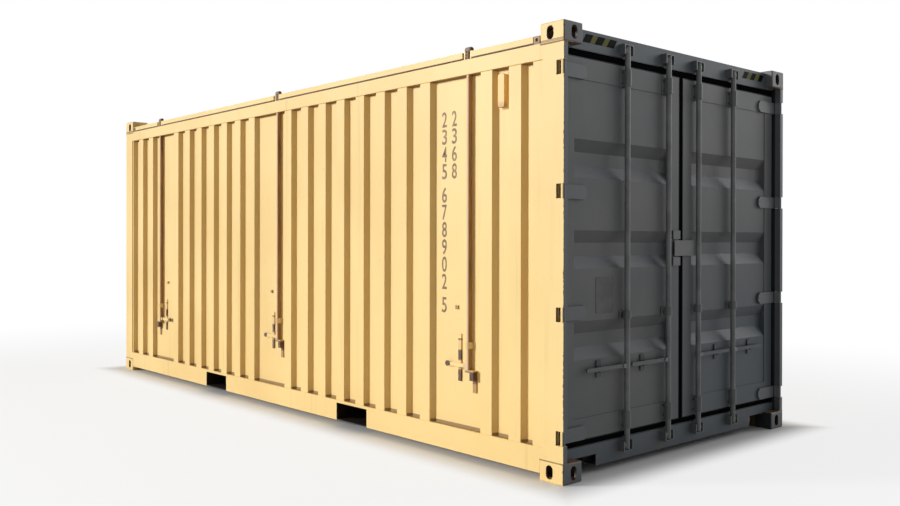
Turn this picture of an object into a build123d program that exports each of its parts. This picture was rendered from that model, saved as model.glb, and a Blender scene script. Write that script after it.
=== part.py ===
from build123d import *
import math
import os

os.makedirs("parts", exist_ok=True)

# A twenty-foot steel container with end doors and a lift-off steel roof.
# Millimetres: X runs along the container with the doors at +X, Y across it, Z up.
# The origin lies on the ground under the middle. Distances called "from the end" run inwards
# from the door end, and distances "from the side" run inwards from the side plane.

# Overall size, reached only by the eight corner castings
length = 6058.0
width = 2438.0
height = 2591.0

# Corner castings
casting_length = 178.0
casting_width = 162.0
casting_height = 118.0
casting_wall = 15.0
casting_plate = 28.0
casting_round = 8.0
aperture_from_end = 102.5
aperture_from_side = 89.5
plate_aperture_length = 124.0
plate_aperture_width = 63.5
wall_aperture_height = 79.5
wall_aperture_width = 51.0
wall_aperture_rise = 59.0

# Frame of posts, rails and beams
frame_inset = 3.0
rear_post_length = 160.0
rear_post_depth = 75.0
rear_post_face = 38.0
rebate_depth = 118.0
front_post_length = 154.0
front_post_depth = 78.0
post_wall = 6.0
top_rail_drop = 107.0
top_rail_height = 94.0
top_rail_width = 60.0
top_rail_wall = 4.0
bottom_rail_bottom = 40.0
bottom_rail_height = 146.0
bottom_rail_width = 50.0
bottom_rail_wall = 5.0
flange_thickness = 6.0
beam_wall = 5.0
header_drop = 14.0
header_height = 119.0
sill_bottom = 45.0
sill_height = 136.0
sill_notch_width = 200.0
sill_notch_height = 69.0
front_beam_depth = 80.0
front_top_rail_height = 164.0
beam_setback = 62.0
ledge_thickness = 6.0
ledge_reach = 105.0

# Floor and base
base_bottom = 46.0
base_depth = 122.0
floor_thickness = 28.0
floor_side_gap = 1.0
cross_member_width = 45.0
cross_member_wall = 4.5
cross_member_pitch = 280.0
pocket_spacing = 2050.0
pocket_length = 360.0
pocket_height = 115.0
pocket_side = 4.0
pocket_floor = 4.0

# Corrugated walls
ridge_inset = 10.0
corrugation_depth = 36.0
sheet_thickness = 2.0
ridge_width = 98.0
web_run = 18.0
wide_recess_width = 439.0
short_recess_width = 60.0
vent_recess_width = 105.375
rear_flat_width = 79.0
front_flat_width = 20.0
first_narrow_count = 7
second_narrow_count = 6
front_recess_count = 8
vent_side_gap = 15.0
vent_drop = 24.0
vent_height = 220.0
vent_depth = 32.0
vent_flange = 6.0
vent_flange_width = 9.0
vent_round = 14.0
vent_edge_round = 5.0

# Lift-off roof
roof_gap = 6.0
roof_edge_height = 39.0
roof_member_width = 70.0
roof_from_end = 236.0
roof_bow_count = 9
roof_bow_width = 50.0
roof_bow_height = 20.0
roof_rib_count = 24
roof_rib_height = 16.0
roof_rib_slope = 20.0
seal_width = 12.0
seal_inset = 50.0
roof_stop_gap = 6.0
roof_stop_thickness = 12.0
roof_stop_hole = 11.0

# Turning bars and their handles, alike on the doors and on the roof locks
bar_radius = 17.0
bar_play = 0.5
handle_thickness = 10.0
handle_width = 24.0
pivot_offset = 32.0
pivot_radius = 6.0
pivot_play = 0.3
ear_gap = 0.5
ear_thickness = 5.0
eye_radius = 13.0
rest_gap = 0.3

# Doors
door_setback = 60.0
door_thickness = 50.0
door_edge_from_side = 60.0
door_head_gap = 41.0
door_sill_gap = 32.0
centre_gap = 40.0
stile_width = 100.0
door_top_rail = 127.0
door_bottom_rail = 127.0
panel_setback = 4.0
panel_thickness = 3.0
band_depth = 34.0
band_slope = 72.0
band_floor_height = 78.0
band_spacing = 525.0
band_count = 3
top_band_drop = 470.0
gasket_clearance = 6.0
gasket_side_clearance = 5.0
gasket_depth = 34.0
gasket_setback = 66.0
centre_lip = 30.0

# Door hinges
hinge_from_end = 20.0
hinge_from_side = 20.0
hinge_count = 4
bottom_hinge_rise = 45.0
top_hinge_drop = 87.0
knuckle_radius = 14.0
knuckle_height = 80.0
hinge_pin_radius = 8.0
hinge_pin_play = 0.3
hinge_end_play = 1.0
hinge_lug_thickness = 12.0
hinge_notch_length = 58.0
blade_thickness = 12.0
blade_root = 22.0
blade_post_gap = 10.0
blade_reach = 200.0
blade_end_chamfer = 22.0

# Door locking rods
rod_from_end = 36.0
outer_rod_offset = 595.0
inner_rod_offset = 169.0
rod_over_sill = 71.0
rod_over_header = 70.0
cam_reach = 30.0
cam_height = 24.0
cam_thickness = 18.0
cam_inset = 25.0
keeper_clearance = 6.0
keeper_cheek = 10.0
keeper_front = 14.0
keeper_bridge = 8.0
keeper_chamfer = 4.0
keeper_end_gap = 5.0
rod_handle_height = 612.0
door_handle_length = 380.0
door_grip_radius = 12.0
door_catch_offset = 245.0
door_catch_width = 40.0
door_catch_below = 50.0
door_catch_above = 50.0
door_catch_plate = 4.0
shelf_thickness = 6.0
shelf_front = 9.0
guide_wall = 6.5
guide_plate_width = 96.0
guide_plate = 5.0
end_guide_height = 100.0
middle_guide_height = 50.0
bottom_guide_rise = 75.0
middle_guide_rise = 305.0
top_guide_drop = 77.0

# Plates that key the two doors together at mid height
interlock_plate_height = 100.0
interlock_plate_reach = 140.0
interlock_overhang = 10.0
interlock_lug_height = 54.0
interlock_lug_gap = 8.0
interlock_lug_reach = 77.0
interlock_lug_inset = 4.0
interlock_thickness = 14.0

# Roof locks on the long sides
lock_from_side = 26.0
lock_from_recess_edge = 120.0
far_lock_from_recess_edge = 158.0
lock_handle_height = 580.0
lock_bar_drop = 22.0
lock_handle_length = 215.0
lock_grip_radius = 17.0
lock_catch_offset = 96.0
lock_catch_width = 26.0
lock_catch_below = 103.0
lock_catch_above = 195.0
lock_catch_plate = 9.0
lock_guide_rise = 130.0
lock_guide_height = 40.0
lock_guide_wall = 4.5
lock_guide_plate = 3.5
lock_guide_width = 80.0
lock_bore_play = 1.5
lock_foot_offset = 40.0
lock_foot_width = 32.0
lock_foot_shelf = 14.0
lock_foot_boss = 62.0
lock_foot_plate = 8.0
lock_foot_height = 140.0
lock_foot_gap = 1.0
cap_length = 66.0
cap_width = 34.0
cap_height = 25.0
cap_chamfer = 8.0
cap_clearance = 6.0
cap_gap = 1.0
yoke_clearance = 5.0
yoke_leg = 12.0
yoke_depth = 28.0
roof_notch_gap = 6.0

end_x = length / 2
side_y = width / 2
post_bottom = casting_height
post_top = height - casting_height
top_rail_top = height - top_rail_drop
top_rail_bottom = top_rail_top - top_rail_height
bottom_rail_top = bottom_rail_bottom + bottom_rail_height
header_top = height - header_drop
header_bottom = header_top - header_height
sill_top = sill_bottom + sill_height
front_top_rail_bottom = header_top - front_top_rail_height
floor_bottom = base_bottom + base_depth
floor_top = floor_bottom + floor_thickness
wall_length = length - rear_post_length - front_post_length
roof_bottom = top_rail_top + roof_gap
roof_top = roof_bottom + roof_edge_height
door_top = header_bottom - door_head_gap
door_bottom = sill_top + door_sill_gap
bottom_hinge_height = door_bottom + bottom_hinge_rise
hinge_spacing = (door_top - top_hinge_drop - bottom_hinge_height) / (hinge_count - 1)
hinge_heights = [bottom_hinge_height + hinge_spacing * i for i in range(hinge_count)]


def from_end(distance):
    """X of a plane this far inside the door end."""
    return end_x - distance


def from_front(distance):
    """X of a plane this far inside the blind front end."""
    return distance - end_x


def from_side(distance):
    """Y of a plane this far inside the side at -Y."""
    return distance - side_y


def save(part, name):
    """Labels a finished piece and writes it to its own file."""
    part.label = name
    export_step(part, "parts/" + name + ".step")


def block(x_low, x_high, y_low, y_high, z_low, z_high, mode=Mode.ADD):
    """A rectangular block between two corners."""
    centre = ((x_low + x_high) / 2, (y_low + y_high) / 2, (z_low + z_high) / 2)
    with Locations(centre):
        Box(abs(x_high - x_low), abs(y_high - y_low), abs(z_high - z_low), mode=mode)


def clear_corners():
    """Cuts the room of the castings and posts out of a beam or rail that butts against them."""
    for x_out, x_in in ((end_x, from_end(casting_length)), (-end_x, from_front(casting_length))):
        for side in (-1, 1):
            y_out, y_in = side * side_y, side * (side_y - casting_width)
            block(x_in, x_out, y_in, y_out, 0, casting_height, Mode.SUBTRACT)
            block(x_in, x_out, y_in, y_out, post_top, height, Mode.SUBTRACT)
    for side in (-1, 1):
        y_out, y_in = side * side_y, side * (side_y - rear_post_depth)
        y_face = side * (side_y - rear_post_face)
        block(from_end(rear_post_length), from_end(rebate_depth), y_in, y_out, 0, height, Mode.SUBTRACT)
        block(from_end(rebate_depth), end_x, y_face, y_out, 0, height, Mode.SUBTRACT)
        y_front = side * (side_y - front_post_depth)
        block(-end_x, from_front(front_post_length), y_front, y_out, 0, height, Mode.SUBTRACT)


def make_castings(outer_z, inward, name):
    """Four hollow corner castings whose outer plate lies at outer_z."""
    middle_z = outer_z + inward * casting_height / 2
    aperture_x = from_end(aperture_from_end)
    aperture_y = from_side(aperture_from_side)
    aperture_z = outer_z + inward * wall_aperture_rise
    with BuildPart() as castings:
        with Locations((from_end(casting_length / 2), from_side(casting_width / 2), middle_z)):
            Box(casting_length, casting_width, casting_height)
        fillet(castings.edges(), radius=casting_round)
        block(
            from_end(casting_wall), from_end(casting_length - casting_wall),
            from_side(casting_wall), from_side(casting_width - casting_wall),
            outer_z + inward * casting_plate, outer_z + inward * (casting_height - casting_wall),
            Mode.SUBTRACT,
        )
        with BuildSketch(Plane.XY.offset(outer_z)):
            with Locations((aperture_x, aperture_y)):
                SlotOverall(plate_aperture_length, plate_aperture_width)
        extrude(amount=inward * casting_plate, mode=Mode.SUBTRACT)
        with BuildSketch(Plane.XZ.offset(side_y)):
            with Locations((aperture_x, aperture_z)):
                SlotOverall(wall_aperture_height, wall_aperture_width, rotation=90)
        extrude(amount=-casting_wall, mode=Mode.SUBTRACT)
        with BuildSketch(Plane.YZ.offset(end_x)):
            with Locations((aperture_y, aperture_z)):
                SlotOverall(wall_aperture_height, wall_aperture_width, rotation=90)
        extrude(amount=-casting_wall, mode=Mode.SUBTRACT)
        mirror(about=Plane.YZ)
        mirror(about=Plane.XZ)
    save(castings.part, name)


make_castings(height, -1, "corner_castings_top")
make_castings(0, 1, "corner_castings_bottom")

# Rear posts: folded hollow sections, stepped to take the door edge, notched for the hinge knuckles
with BuildPart() as rear_posts:
    with BuildSketch(Plane.XY.offset(post_bottom)):
        with BuildLine():
            Polyline(
                (from_end(frame_inset), from_side(frame_inset)),
                (from_end(rear_post_length), from_side(frame_inset)),
                (from_end(rear_post_length), from_side(rear_post_depth)),
                (from_end(rebate_depth), from_side(rear_post_depth)),
                (from_end(rebate_depth), from_side(rear_post_face)),
                (from_end(frame_inset), from_side(rear_post_face)),
                close=True,
            )
        make_face()
        offset(amount=-post_wall, kind=Kind.INTERSECTION, mode=Mode.SUBTRACT)
    extrude(amount=post_top - post_bottom)
    notch_half = knuckle_height / 2 + hinge_end_play + hinge_lug_thickness
    for z in hinge_heights:
        block(
            from_end(hinge_notch_length), end_x, -side_y, from_side(rear_post_face),
            z - notch_half, z + notch_half, Mode.SUBTRACT,
        )
    mirror(about=Plane.XZ)
save(rear_posts.part, "rear_corner_posts")

with BuildPart() as front_posts:
    with BuildSketch(Plane.XY.offset(post_bottom)):
        post_x = from_front((frame_inset + front_post_length) / 2)
        post_y = from_side((frame_inset + front_post_depth) / 2)
        with Locations((post_x, post_y)):
            Rectangle(front_post_length - frame_inset, front_post_depth - frame_inset)
        offset(amount=-post_wall, kind=Kind.INTERSECTION, mode=Mode.SUBTRACT)
    extrude(amount=post_top - post_bottom)
    mirror(about=Plane.XZ)
save(front_posts.part, "front_corner_posts")


def recess_layout():
    """Start and floor width of each wall recess, counted from the rear post along the side wall."""
    kinds = ["short", "vent", "wide"]
    kinds += ["narrow"] * first_narrow_count + ["wide"]
    kinds += ["narrow"] * second_narrow_count + ["wide"]
    kinds += ["narrow", "narrow"]
    floors = {"short": short_recess_width, "vent": vent_recess_width, "wide": wide_recess_width}
    taken = rear_flat_width + front_flat_width + 2 * web_run * len(kinds) + ridge_width * (len(kinds) - 1)
    taken += sum(floors.get(kind, 0) for kind in kinds)
    floors["narrow"] = (wall_length - taken) / kinds.count("narrow")
    layout = []
    start = rear_post_length + rear_flat_width
    for kind in kinds:
        layout.append((kind, start, floors[kind]))
        start += floors[kind] + 2 * web_run + ridge_width
    return layout


def sheet_outline(recesses, start, end, web, depth, thickness):
    """Closed outline of a corrugated sheet: (along, in) points of its outer and inner faces."""
    shift = thickness * math.tan(math.atan2(depth, web) / 2)
    outer = [(start, 0)]
    inner = [(start, thickness)]
    for low, floor in recesses:
        high = low + floor + 2 * web
        outer += [(low, 0), (low + web, depth), (high - web, depth), (high, 0)]
        inner += [
            (low - shift, thickness), (low + web - shift, depth + thickness),
            (high - web + shift, depth + thickness), (high + shift, thickness),
        ]
    outer.append((end, 0))
    inner.append((end, thickness))
    return outer + inner[::-1]


side_recesses = recess_layout()
wide_recesses = [(start, floor) for kind, start, floor in side_recesses if kind == "wide"]

with BuildPart() as side_wall:
    outline = sheet_outline(
        [(start, floor) for kind, start, floor in side_recesses],
        rear_post_length, length - front_post_length, web_run, corrugation_depth, sheet_thickness,
    )
    with BuildSketch(Plane.XY.offset(bottom_rail_top)):
        with BuildLine():
            Polyline(*[(from_end(a), from_side(ridge_inset + b)) for a, b in outline], close=True)
        make_face()
    extrude(amount=top_rail_bottom - bottom_rail_top)
save(side_wall.part, "side_wall_left")
save(mirror(side_wall.part, about=Plane.XZ), "side_wall_right")

with BuildPart() as front_wall:
    clear_width = width - 2 * front_post_depth
    front_pitch = clear_width / front_recess_count
    front_floor = front_pitch - ridge_width - 2 * web_run
    front_starts = [ridge_width / 2 + front_pitch * i for i in range(front_recess_count)]
    outline = sheet_outline(
        [(start, front_floor) for start in front_starts],
        0, clear_width, web_run, corrugation_depth, sheet_thickness,
    )
    with BuildSketch(Plane.XY.offset(bottom_rail_top)):
        with BuildLine():
            Polyline(*[(from_front(ridge_inset + b), a - clear_width / 2) for a, b in outline], close=True)
        make_face()
    extrude(amount=front_top_rail_bottom - bottom_rail_top)
save(front_wall.part, "front_wall")


def lock_positions():
    """X of the three roof locks of a side, each with the way its handle points along X."""
    near, middle, far = wide_recesses
    far_end = far[0] + far[1] + 2 * web_run
    return (
        (from_end(near[0] + lock_from_recess_edge), -1),
        (from_end(middle[0] + lock_from_recess_edge), -1),
        (from_end(far_end - far_lock_from_recess_edge), 1),
    )


roof_locks = lock_positions()
lock_y = from_side(lock_from_side)
lock_bore = bar_radius + lock_bore_play

# Top rails, bored for the roof locks, with an eyed stop between each casting and the roof's edge
with BuildPart() as top_rails:
    rail_middle = (top_rail_bottom + top_rail_top) / 2
    with BuildSketch(Plane.YZ.offset(from_front(front_post_length))):
        with Locations((from_side(frame_inset + top_rail_width / 2), rail_middle)):
            Rectangle(top_rail_width, top_rail_height)
        offset(amount=-top_rail_wall, kind=Kind.INTERSECTION, mode=Mode.SUBTRACT)
    extrude(amount=wall_length)
    with Locations(*[(x, lock_y, rail_middle) for x, hand in roof_locks]):
        Cylinder(lock_bore, 2 * top_rail_height, mode=Mode.SUBTRACT)
    stop_low = casting_length + roof_stop_gap
    stop_high = roof_from_end - roof_stop_gap
    stop_y = from_side(frame_inset + roof_stop_thickness)
    rear_stop = (from_end(stop_high), from_end(stop_low))
    front_stop = (from_front(stop_low), from_front(stop_high))
    for x_low, x_high in (rear_stop, front_stop):
        block(x_low, x_high, from_side(frame_inset), stop_y, top_rail_top - top_rail_wall, roof_top)
        with Locations(((x_low + x_high) / 2, stop_y, (top_rail_top + roof_top) / 2)):
            Cylinder(roof_stop_hole, 4 * roof_stop_thickness, rotation=(90, 0, 0), mode=Mode.SUBTRACT)
    clear_corners()
    mirror(about=Plane.XZ)
save(top_rails.part, "top_side_rails")

pocket_outer = pocket_length + 2 * pocket_side
with BuildPart() as bottom_rails:
    outer_y = from_side(frame_inset)
    web_y = outer_y + bottom_rail_wall
    lip_y = outer_y + bottom_rail_width
    with BuildSketch(Plane.YZ.offset(from_front(front_post_length))):
        with BuildLine():
            Polyline(
                (outer_y, bottom_rail_bottom),
                (lip_y, bottom_rail_bottom),
                (lip_y, bottom_rail_bottom + flange_thickness),
                (web_y, bottom_rail_bottom + flange_thickness),
                (web_y, bottom_rail_top - flange_thickness),
                (lip_y, bottom_rail_top - flange_thickness),
                (lip_y, bottom_rail_top),
                (outer_y, bottom_rail_top),
                close=True,
            )
        make_face()
    extrude(amount=wall_length)
    for x in (-pocket_spacing / 2, pocket_spacing / 2):
        block(
            x - pocket_outer / 2, x + pocket_outer / 2, -side_y, 0,
            bottom_rail_bottom, floor_bottom, Mode.SUBTRACT,
        )
    clear_corners()
    mirror(about=Plane.XZ)
save(bottom_rails.part, "bottom_side_rails")

with BuildPart() as header:
    with BuildSketch(Plane.XZ.offset(-side_y)):
        with BuildLine():
            Polyline(
                (from_end(beam_setback), header_bottom),
                (from_end(beam_setback), header_top),
                (from_end(rear_post_length), header_top),
                (from_end(rear_post_length), header_bottom),
                close=True,
            )
        make_face()
        offset(amount=-beam_wall, kind=Kind.INTERSECTION, mode=Mode.SUBTRACT)
    extrude(amount=width)
    block(
        from_end(rear_post_length + ledge_reach), from_end(rear_post_length),
        from_side(frame_inset + top_rail_width), -from_side(frame_inset + top_rail_width),
        top_rail_top - ledge_thickness, top_rail_top,
    )
    clear_corners()
save(header.part, "door_header")

with BuildPart() as sill:
    with BuildSketch(Plane.XZ.offset(-side_y)):
        with BuildLine():
            Polyline(
                (from_end(beam_setback), sill_bottom),
                (from_end(beam_setback), sill_top),
                (from_end(rebate_depth), sill_top),
                (from_end(rebate_depth), floor_top),
                (from_end(rear_post_length), floor_top),
                (from_end(rear_post_length), sill_bottom),
                close=True,
            )
        make_face()
        offset(amount=-beam_wall, kind=Kind.INTERSECTION, mode=Mode.SUBTRACT)
    extrude(amount=width)
    clear_corners()
    for side in (-1, 1):
        edge = side * (side_y - casting_width)
        block(
            from_end(rear_post_length), end_x, edge, edge - side * sill_notch_width,
            0, sill_bottom + sill_notch_height, Mode.SUBTRACT,
        )
save(sill.part, "door_sill")

front_beam_x = from_front((frame_inset + front_beam_depth) / 2)
with BuildPart() as front_top_rail:
    with BuildSketch(Plane.XZ.offset(-side_y)):
        with Locations((front_beam_x, (front_top_rail_bottom + header_top) / 2)):
            Rectangle(front_beam_depth - frame_inset, front_top_rail_height)
        offset(amount=-beam_wall, kind=Kind.INTERSECTION, mode=Mode.SUBTRACT)
    extrude(amount=width)
    block(
        from_front(front_beam_depth), from_front(rear_post_length + ledge_reach),
        from_side(frame_inset + top_rail_width), -from_side(frame_inset + top_rail_width),
        top_rail_top - ledge_thickness, top_rail_top,
    )
    clear_corners()
save(front_top_rail.part, "front_top_rail")

with BuildPart() as front_bottom_rail:
    with BuildSketch(Plane.XZ.offset(-side_y)):
        with Locations((front_beam_x, (bottom_rail_bottom + bottom_rail_top) / 2)):
            Rectangle(front_beam_depth - frame_inset, bottom_rail_height)
        offset(amount=-beam_wall, kind=Kind.INTERSECTION, mode=Mode.SUBTRACT)
    extrude(amount=width)
    clear_corners()
save(front_bottom_rail.part, "front_bottom_rail")

with BuildPart() as floor:
    floor_edge = from_side(frame_inset + bottom_rail_width + floor_side_gap)
    block(
        from_front(front_beam_depth), from_end(rear_post_length), floor_edge, -floor_edge,
        floor_bottom, floor_top,
    )
    clear_corners()
save(floor.part, "floor")

with BuildPart() as cross_members:
    span = length - front_beam_depth - rear_post_length
    count = round(span / cross_member_pitch)
    pitch = span / count
    stations = [from_front(front_beam_depth) + pitch * (i + 0.5) for i in range(count)]
    pockets = (-pocket_spacing / 2, pocket_spacing / 2)
    room = pocket_outer / 2 + cross_member_width
    for x in stations:
        if min(abs(x - pocket) for pocket in pockets) < room:
            continue
        with BuildSketch(Plane.XZ.offset(-side_y + frame_inset + bottom_rail_wall)):
            with Locations((x, base_bottom + base_depth / 2)):
                Rectangle(cross_member_width, base_depth)
            with Locations((x + cross_member_wall, base_bottom + base_depth / 2)):
                Rectangle(cross_member_width, base_depth - 2 * cross_member_wall, mode=Mode.SUBTRACT)
        extrude(amount=width - 2 * (frame_inset + bottom_rail_wall))
save(cross_members.part, "cross_members")

with BuildPart() as fork_pockets:
    for x in (-pocket_spacing / 2, pocket_spacing / 2):
        with BuildSketch(Plane.XZ.offset(-side_y + frame_inset)):
            with Locations((x, base_bottom + base_depth / 2)):
                Rectangle(pocket_outer, base_depth)
            with Locations((x, base_bottom + pocket_floor + pocket_height / 2)):
                Rectangle(pocket_length, pocket_height, mode=Mode.SUBTRACT)
        extrude(amount=width - 2 * frame_inset)
save(fork_pockets.part, "fork_pockets")

bow_top = roof_bottom + roof_bow_height
roof_half_length = end_x - roof_from_end
roof_half_width = side_y - frame_inset
notch_half_length = bar_radius + yoke_clearance + yoke_leg + roof_notch_gap

with BuildPart() as roof_frame:
    block(-roof_half_length, roof_half_length, -roof_half_width, roof_half_width, roof_bottom, roof_top)
    block(
        -roof_half_length + roof_member_width, roof_half_length - roof_member_width,
        -roof_half_width + roof_member_width, roof_half_width - roof_member_width,
        roof_bottom, roof_top, Mode.SUBTRACT,
    )
    bow_span = 2 * (roof_half_length - roof_member_width)
    with Locations((0, 0, roof_bottom + roof_bow_height / 2)):
        with GridLocations(bow_span / (roof_bow_count + 1), 0, roof_bow_count, 1):
            Box(roof_bow_width, 2 * (roof_half_width - roof_member_width), roof_bow_height)
    for x, hand in roof_locks:
        for side in (-1, 1):
            block(
                x - notch_half_length, x + notch_half_length,
                side * (side_y - lock_from_side - bar_radius - yoke_clearance), side * side_y,
                roof_bottom, roof_top, Mode.SUBTRACT,
            )
save(roof_frame.part, "roof_frame")

with BuildPart() as roof_panel:
    panel_length = 2 * (roof_half_length - roof_member_width)
    rib_pitch = panel_length / roof_rib_count
    rib_low = rib_pitch / 2 - 2 * roof_rib_slope
    rib_starts = [rib_pitch * i + (rib_pitch - rib_low) / 2 - roof_rib_slope for i in range(roof_rib_count)]
    outline = sheet_outline(
        [(start, rib_low) for start in rib_starts],
        0, panel_length, roof_rib_slope, roof_rib_height, sheet_thickness,
    )
    high_z = bow_top + roof_rib_height + sheet_thickness
    with BuildSketch(Plane.XZ.offset(-roof_half_width + roof_member_width)):
        with BuildLine():
            Polyline(*[(a - panel_length / 2, high_z - b) for a, b in outline], close=True)
        make_face()
    extrude(amount=2 * (roof_half_width - roof_member_width))
save(roof_panel.part, "roof_panel")

with BuildPart() as roof_seal:
    seal_half_width = side_y - seal_inset
    seal_half_length = roof_half_length - (roof_member_width - seal_width) / 2
    with BuildSketch(Plane.XY.offset(top_rail_top)):
        Rectangle(2 * seal_half_length, 2 * seal_half_width)
        Rectangle(2 * (seal_half_length - seal_width), 2 * (seal_half_width - seal_width), mode=Mode.SUBTRACT)
    extrude(amount=roof_gap)
save(roof_seal.part, "roof_seal")

with BuildPart() as vents:
    kind, vent_start, vent_floor = side_recesses[1]
    vent_x = from_end(vent_start + web_run + vent_floor / 2)
    vent_z = top_rail_bottom - vent_drop - vent_height / 2
    vent_width = vent_floor - 2 * vent_side_gap
    for margin, deep in ((0, vent_flange), (vent_flange_width, vent_depth)):
        with BuildSketch(Plane.XZ.offset(side_y - ridge_inset - corrugation_depth)):
            with Locations((vent_x, vent_z)):
                RectangleRounded(vent_width - 2 * margin, vent_height - 2 * margin, vent_round)
        extrude(amount=deep)
    fillet(vents.faces().sort_by(Axis.Y)[0].edges(), radius=vent_edge_round)
    mirror(about=Plane.XZ)
save(vents.part, "vent_covers")


# Door hinges: lugs and pins on the posts, bladed knuckles on the doors
hinge_x = from_end(hinge_from_end)
hinge_y = from_side(hinge_from_side)
lug_stack = knuckle_height / 2 + hinge_end_play + hinge_lug_thickness

with BuildPart() as hinge_lugs:
    for z in hinge_heights:
        for low in (z - lug_stack, z + lug_stack - hinge_lug_thickness):
            block(
                from_end(hinge_notch_length), from_end(frame_inset),
                from_side(frame_inset), from_side(rear_post_face), low, low + hinge_lug_thickness,
            )
        with Locations((hinge_x, hinge_y, z)):
            Cylinder(hinge_pin_radius, 2 * lug_stack)
    mirror(about=Plane.XZ)
save(hinge_lugs.part, "door_hinge_lugs")

door_y_low = from_side(door_edge_from_side)
door_y_high = -centre_gap / 2
door_face = from_end(door_setback)
door_back = from_end(door_setback + door_thickness)
window_low = door_bottom + door_bottom_rail
window_high = door_top - door_top_rail

with BuildPart() as door_frame:
    block(door_back, door_face, door_y_low, door_y_high, door_bottom, door_top)
    block(
        door_back, door_face, door_y_low + stile_width, door_y_high - stile_width,
        window_low, window_high, Mode.SUBTRACT,
    )

with BuildPart() as door_panel:
    band_height = 2 * band_slope + band_floor_height
    lowest = door_top - top_band_drop - band_spacing * (band_count - 1) - band_height
    bands = [(lowest - window_low + band_spacing * i, band_floor_height) for i in range(band_count)]
    outline = sheet_outline(bands, 0, window_high - window_low, band_slope, band_depth, panel_thickness)
    with BuildSketch(Plane.XZ.offset(-(door_y_high - stile_width))):
        with BuildLine():
            Polyline(
                *[(from_end(door_setback + panel_setback + b), window_low + a) for a, b in outline],
                close=True,
            )
        make_face()
    extrude(amount=door_y_high - door_y_low - 2 * stile_width)


def make_gasket(lip):
    """Rubber strip round a door, with a lip over the centre gap where lip is more than 0."""
    gasket_face = from_end(gasket_setback)
    with BuildPart() as gasket:
        block(
            gasket_face - gasket_depth, gasket_face,
            from_side(rear_post_face + gasket_side_clearance), door_y_high + lip,
            sill_top + gasket_clearance, header_bottom - gasket_clearance,
        )
        block(door_back, door_face, door_y_low, door_y_high, door_bottom, door_top, Mode.SUBTRACT)
    return gasket.part


with BuildPart() as hinge_blades:
    for z in hinge_heights:
        with BuildSketch(Plane.XY.offset(z - knuckle_height / 2)):
            with Locations((hinge_x, hinge_y)):
                Circle(knuckle_radius)
            with BuildLine():
                Polyline(
                    (hinge_x, hinge_y + knuckle_radius),
                    (door_face + blade_thickness, hinge_y + blade_root),
                    (door_face + blade_thickness, door_y_low + blade_reach),
                    (door_face, door_y_low + blade_reach),
                    (door_face, from_side(rear_post_face + blade_post_gap)),
                    (hinge_x - knuckle_radius, hinge_y),
                    (hinge_x, hinge_y),
                    close=True,
                )
            make_face()
            with Locations((hinge_x, hinge_y)):
                Circle(hinge_pin_radius + hinge_pin_play, mode=Mode.SUBTRACT)
        extrude(amount=knuckle_height)
    far_faces = hinge_blades.faces().filter_by(Axis.Y).group_by(Axis.Y)[-1]
    chamfer(far_faces.edges().filter_by(Axis.X), length=blade_end_chamfer)


# Bar gear is made in a local frame, whose -Y points out of the wall, and turned about Z to each wall
wall_turns = {"left": 0, "door": 90, "right": 180}


def placed(piece, x, y, wall):
    """A copy of a piece of bar gear, moved from its local frame to its place on a wall."""
    return piece.moved(Location((x, y, 0), (0, 0, wall_turns[wall])))


def make_bar(low, high, hand, pivot_z):
    """Turning bar with the two ears and the pin that carry its handle on the side named by hand."""
    ear_low = handle_thickness / 2 + ear_gap
    with BuildPart() as bar:
        with BuildSketch(Plane.XY.offset(low)):
            Circle(bar_radius)
        extrude(amount=high - low)
        for y in (ear_low, -ear_low - ear_thickness):
            with BuildSketch(Plane.XZ.offset(y)):
                with Locations((hand * pivot_offset / 2, pivot_z)):
                    Rectangle(pivot_offset, 2 * eye_radius)
                with Locations((hand * pivot_offset, pivot_z)):
                    Circle(eye_radius)
            extrude(amount=ear_thickness)
        with BuildSketch(Plane.XZ.offset(-ear_low - ear_thickness)):
            with Locations((hand * pivot_offset, pivot_z)):
                Circle(pivot_radius)
        extrude(amount=2 * (ear_low + ear_thickness))
    return bar.part


def make_handle(reach, grip_radius, hand, pivot_z):
    """Flat handle that hangs on a bar's pin by its eye and ends in a round grip."""
    grip_x = reach - grip_radius
    with BuildPart() as handle:
        with BuildSketch(Plane.XZ.offset(-handle_thickness / 2)):
            with Locations((hand * pivot_offset, pivot_z)):
                Circle(eye_radius)
            with Locations((hand * (pivot_offset + grip_x) / 2, pivot_z)):
                Rectangle(grip_x - pivot_offset, handle_width)
            with Locations((hand * grip_x, pivot_z)):
                Circle(grip_radius)
            with Locations((hand * pivot_offset, pivot_z)):
                Circle(pivot_radius + pivot_play, mode=Mode.SUBTRACT)
        extrude(amount=handle_thickness)
    return handle.part


def make_saddle(wall_distance, wall, plate, plate_width, tall, centre_z):
    """Guide that holds a bar against a wall: a flat plate and a round strap."""
    with BuildPart() as saddle:
        with BuildSketch(Plane.XY.offset(centre_z - tall / 2)):
            with Locations((0, wall_distance - plate / 2)):
                Rectangle(plate_width, plate)
            with Locations((0, wall_distance / 2)):
                Rectangle(2 * (bar_radius + wall), wall_distance)
            Circle(bar_radius + wall)
            Circle(bar_radius + bar_play, mode=Mode.SUBTRACT)
            with Locations((0, wall_distance + bar_radius)):
                Rectangle(plate_width, 2 * bar_radius, mode=Mode.SUBTRACT)
        extrude(amount=tall)
    return saddle.part


def make_catch(wall_distance, x, wide, low, high, plate, rest_z):
    """Catch that a handle rests in: a back plate and a shelf under the handle, open in front."""
    shelf_z = rest_z - handle_width / 2 - rest_gap
    with BuildPart() as catch:
        block(x - wide / 2, x + wide / 2, wall_distance - plate, wall_distance, low, high)
        block(x - wide / 2, x + wide / 2, -shelf_front, wall_distance, shelf_z - shelf_thickness, shelf_z)
    return catch.part


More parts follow.
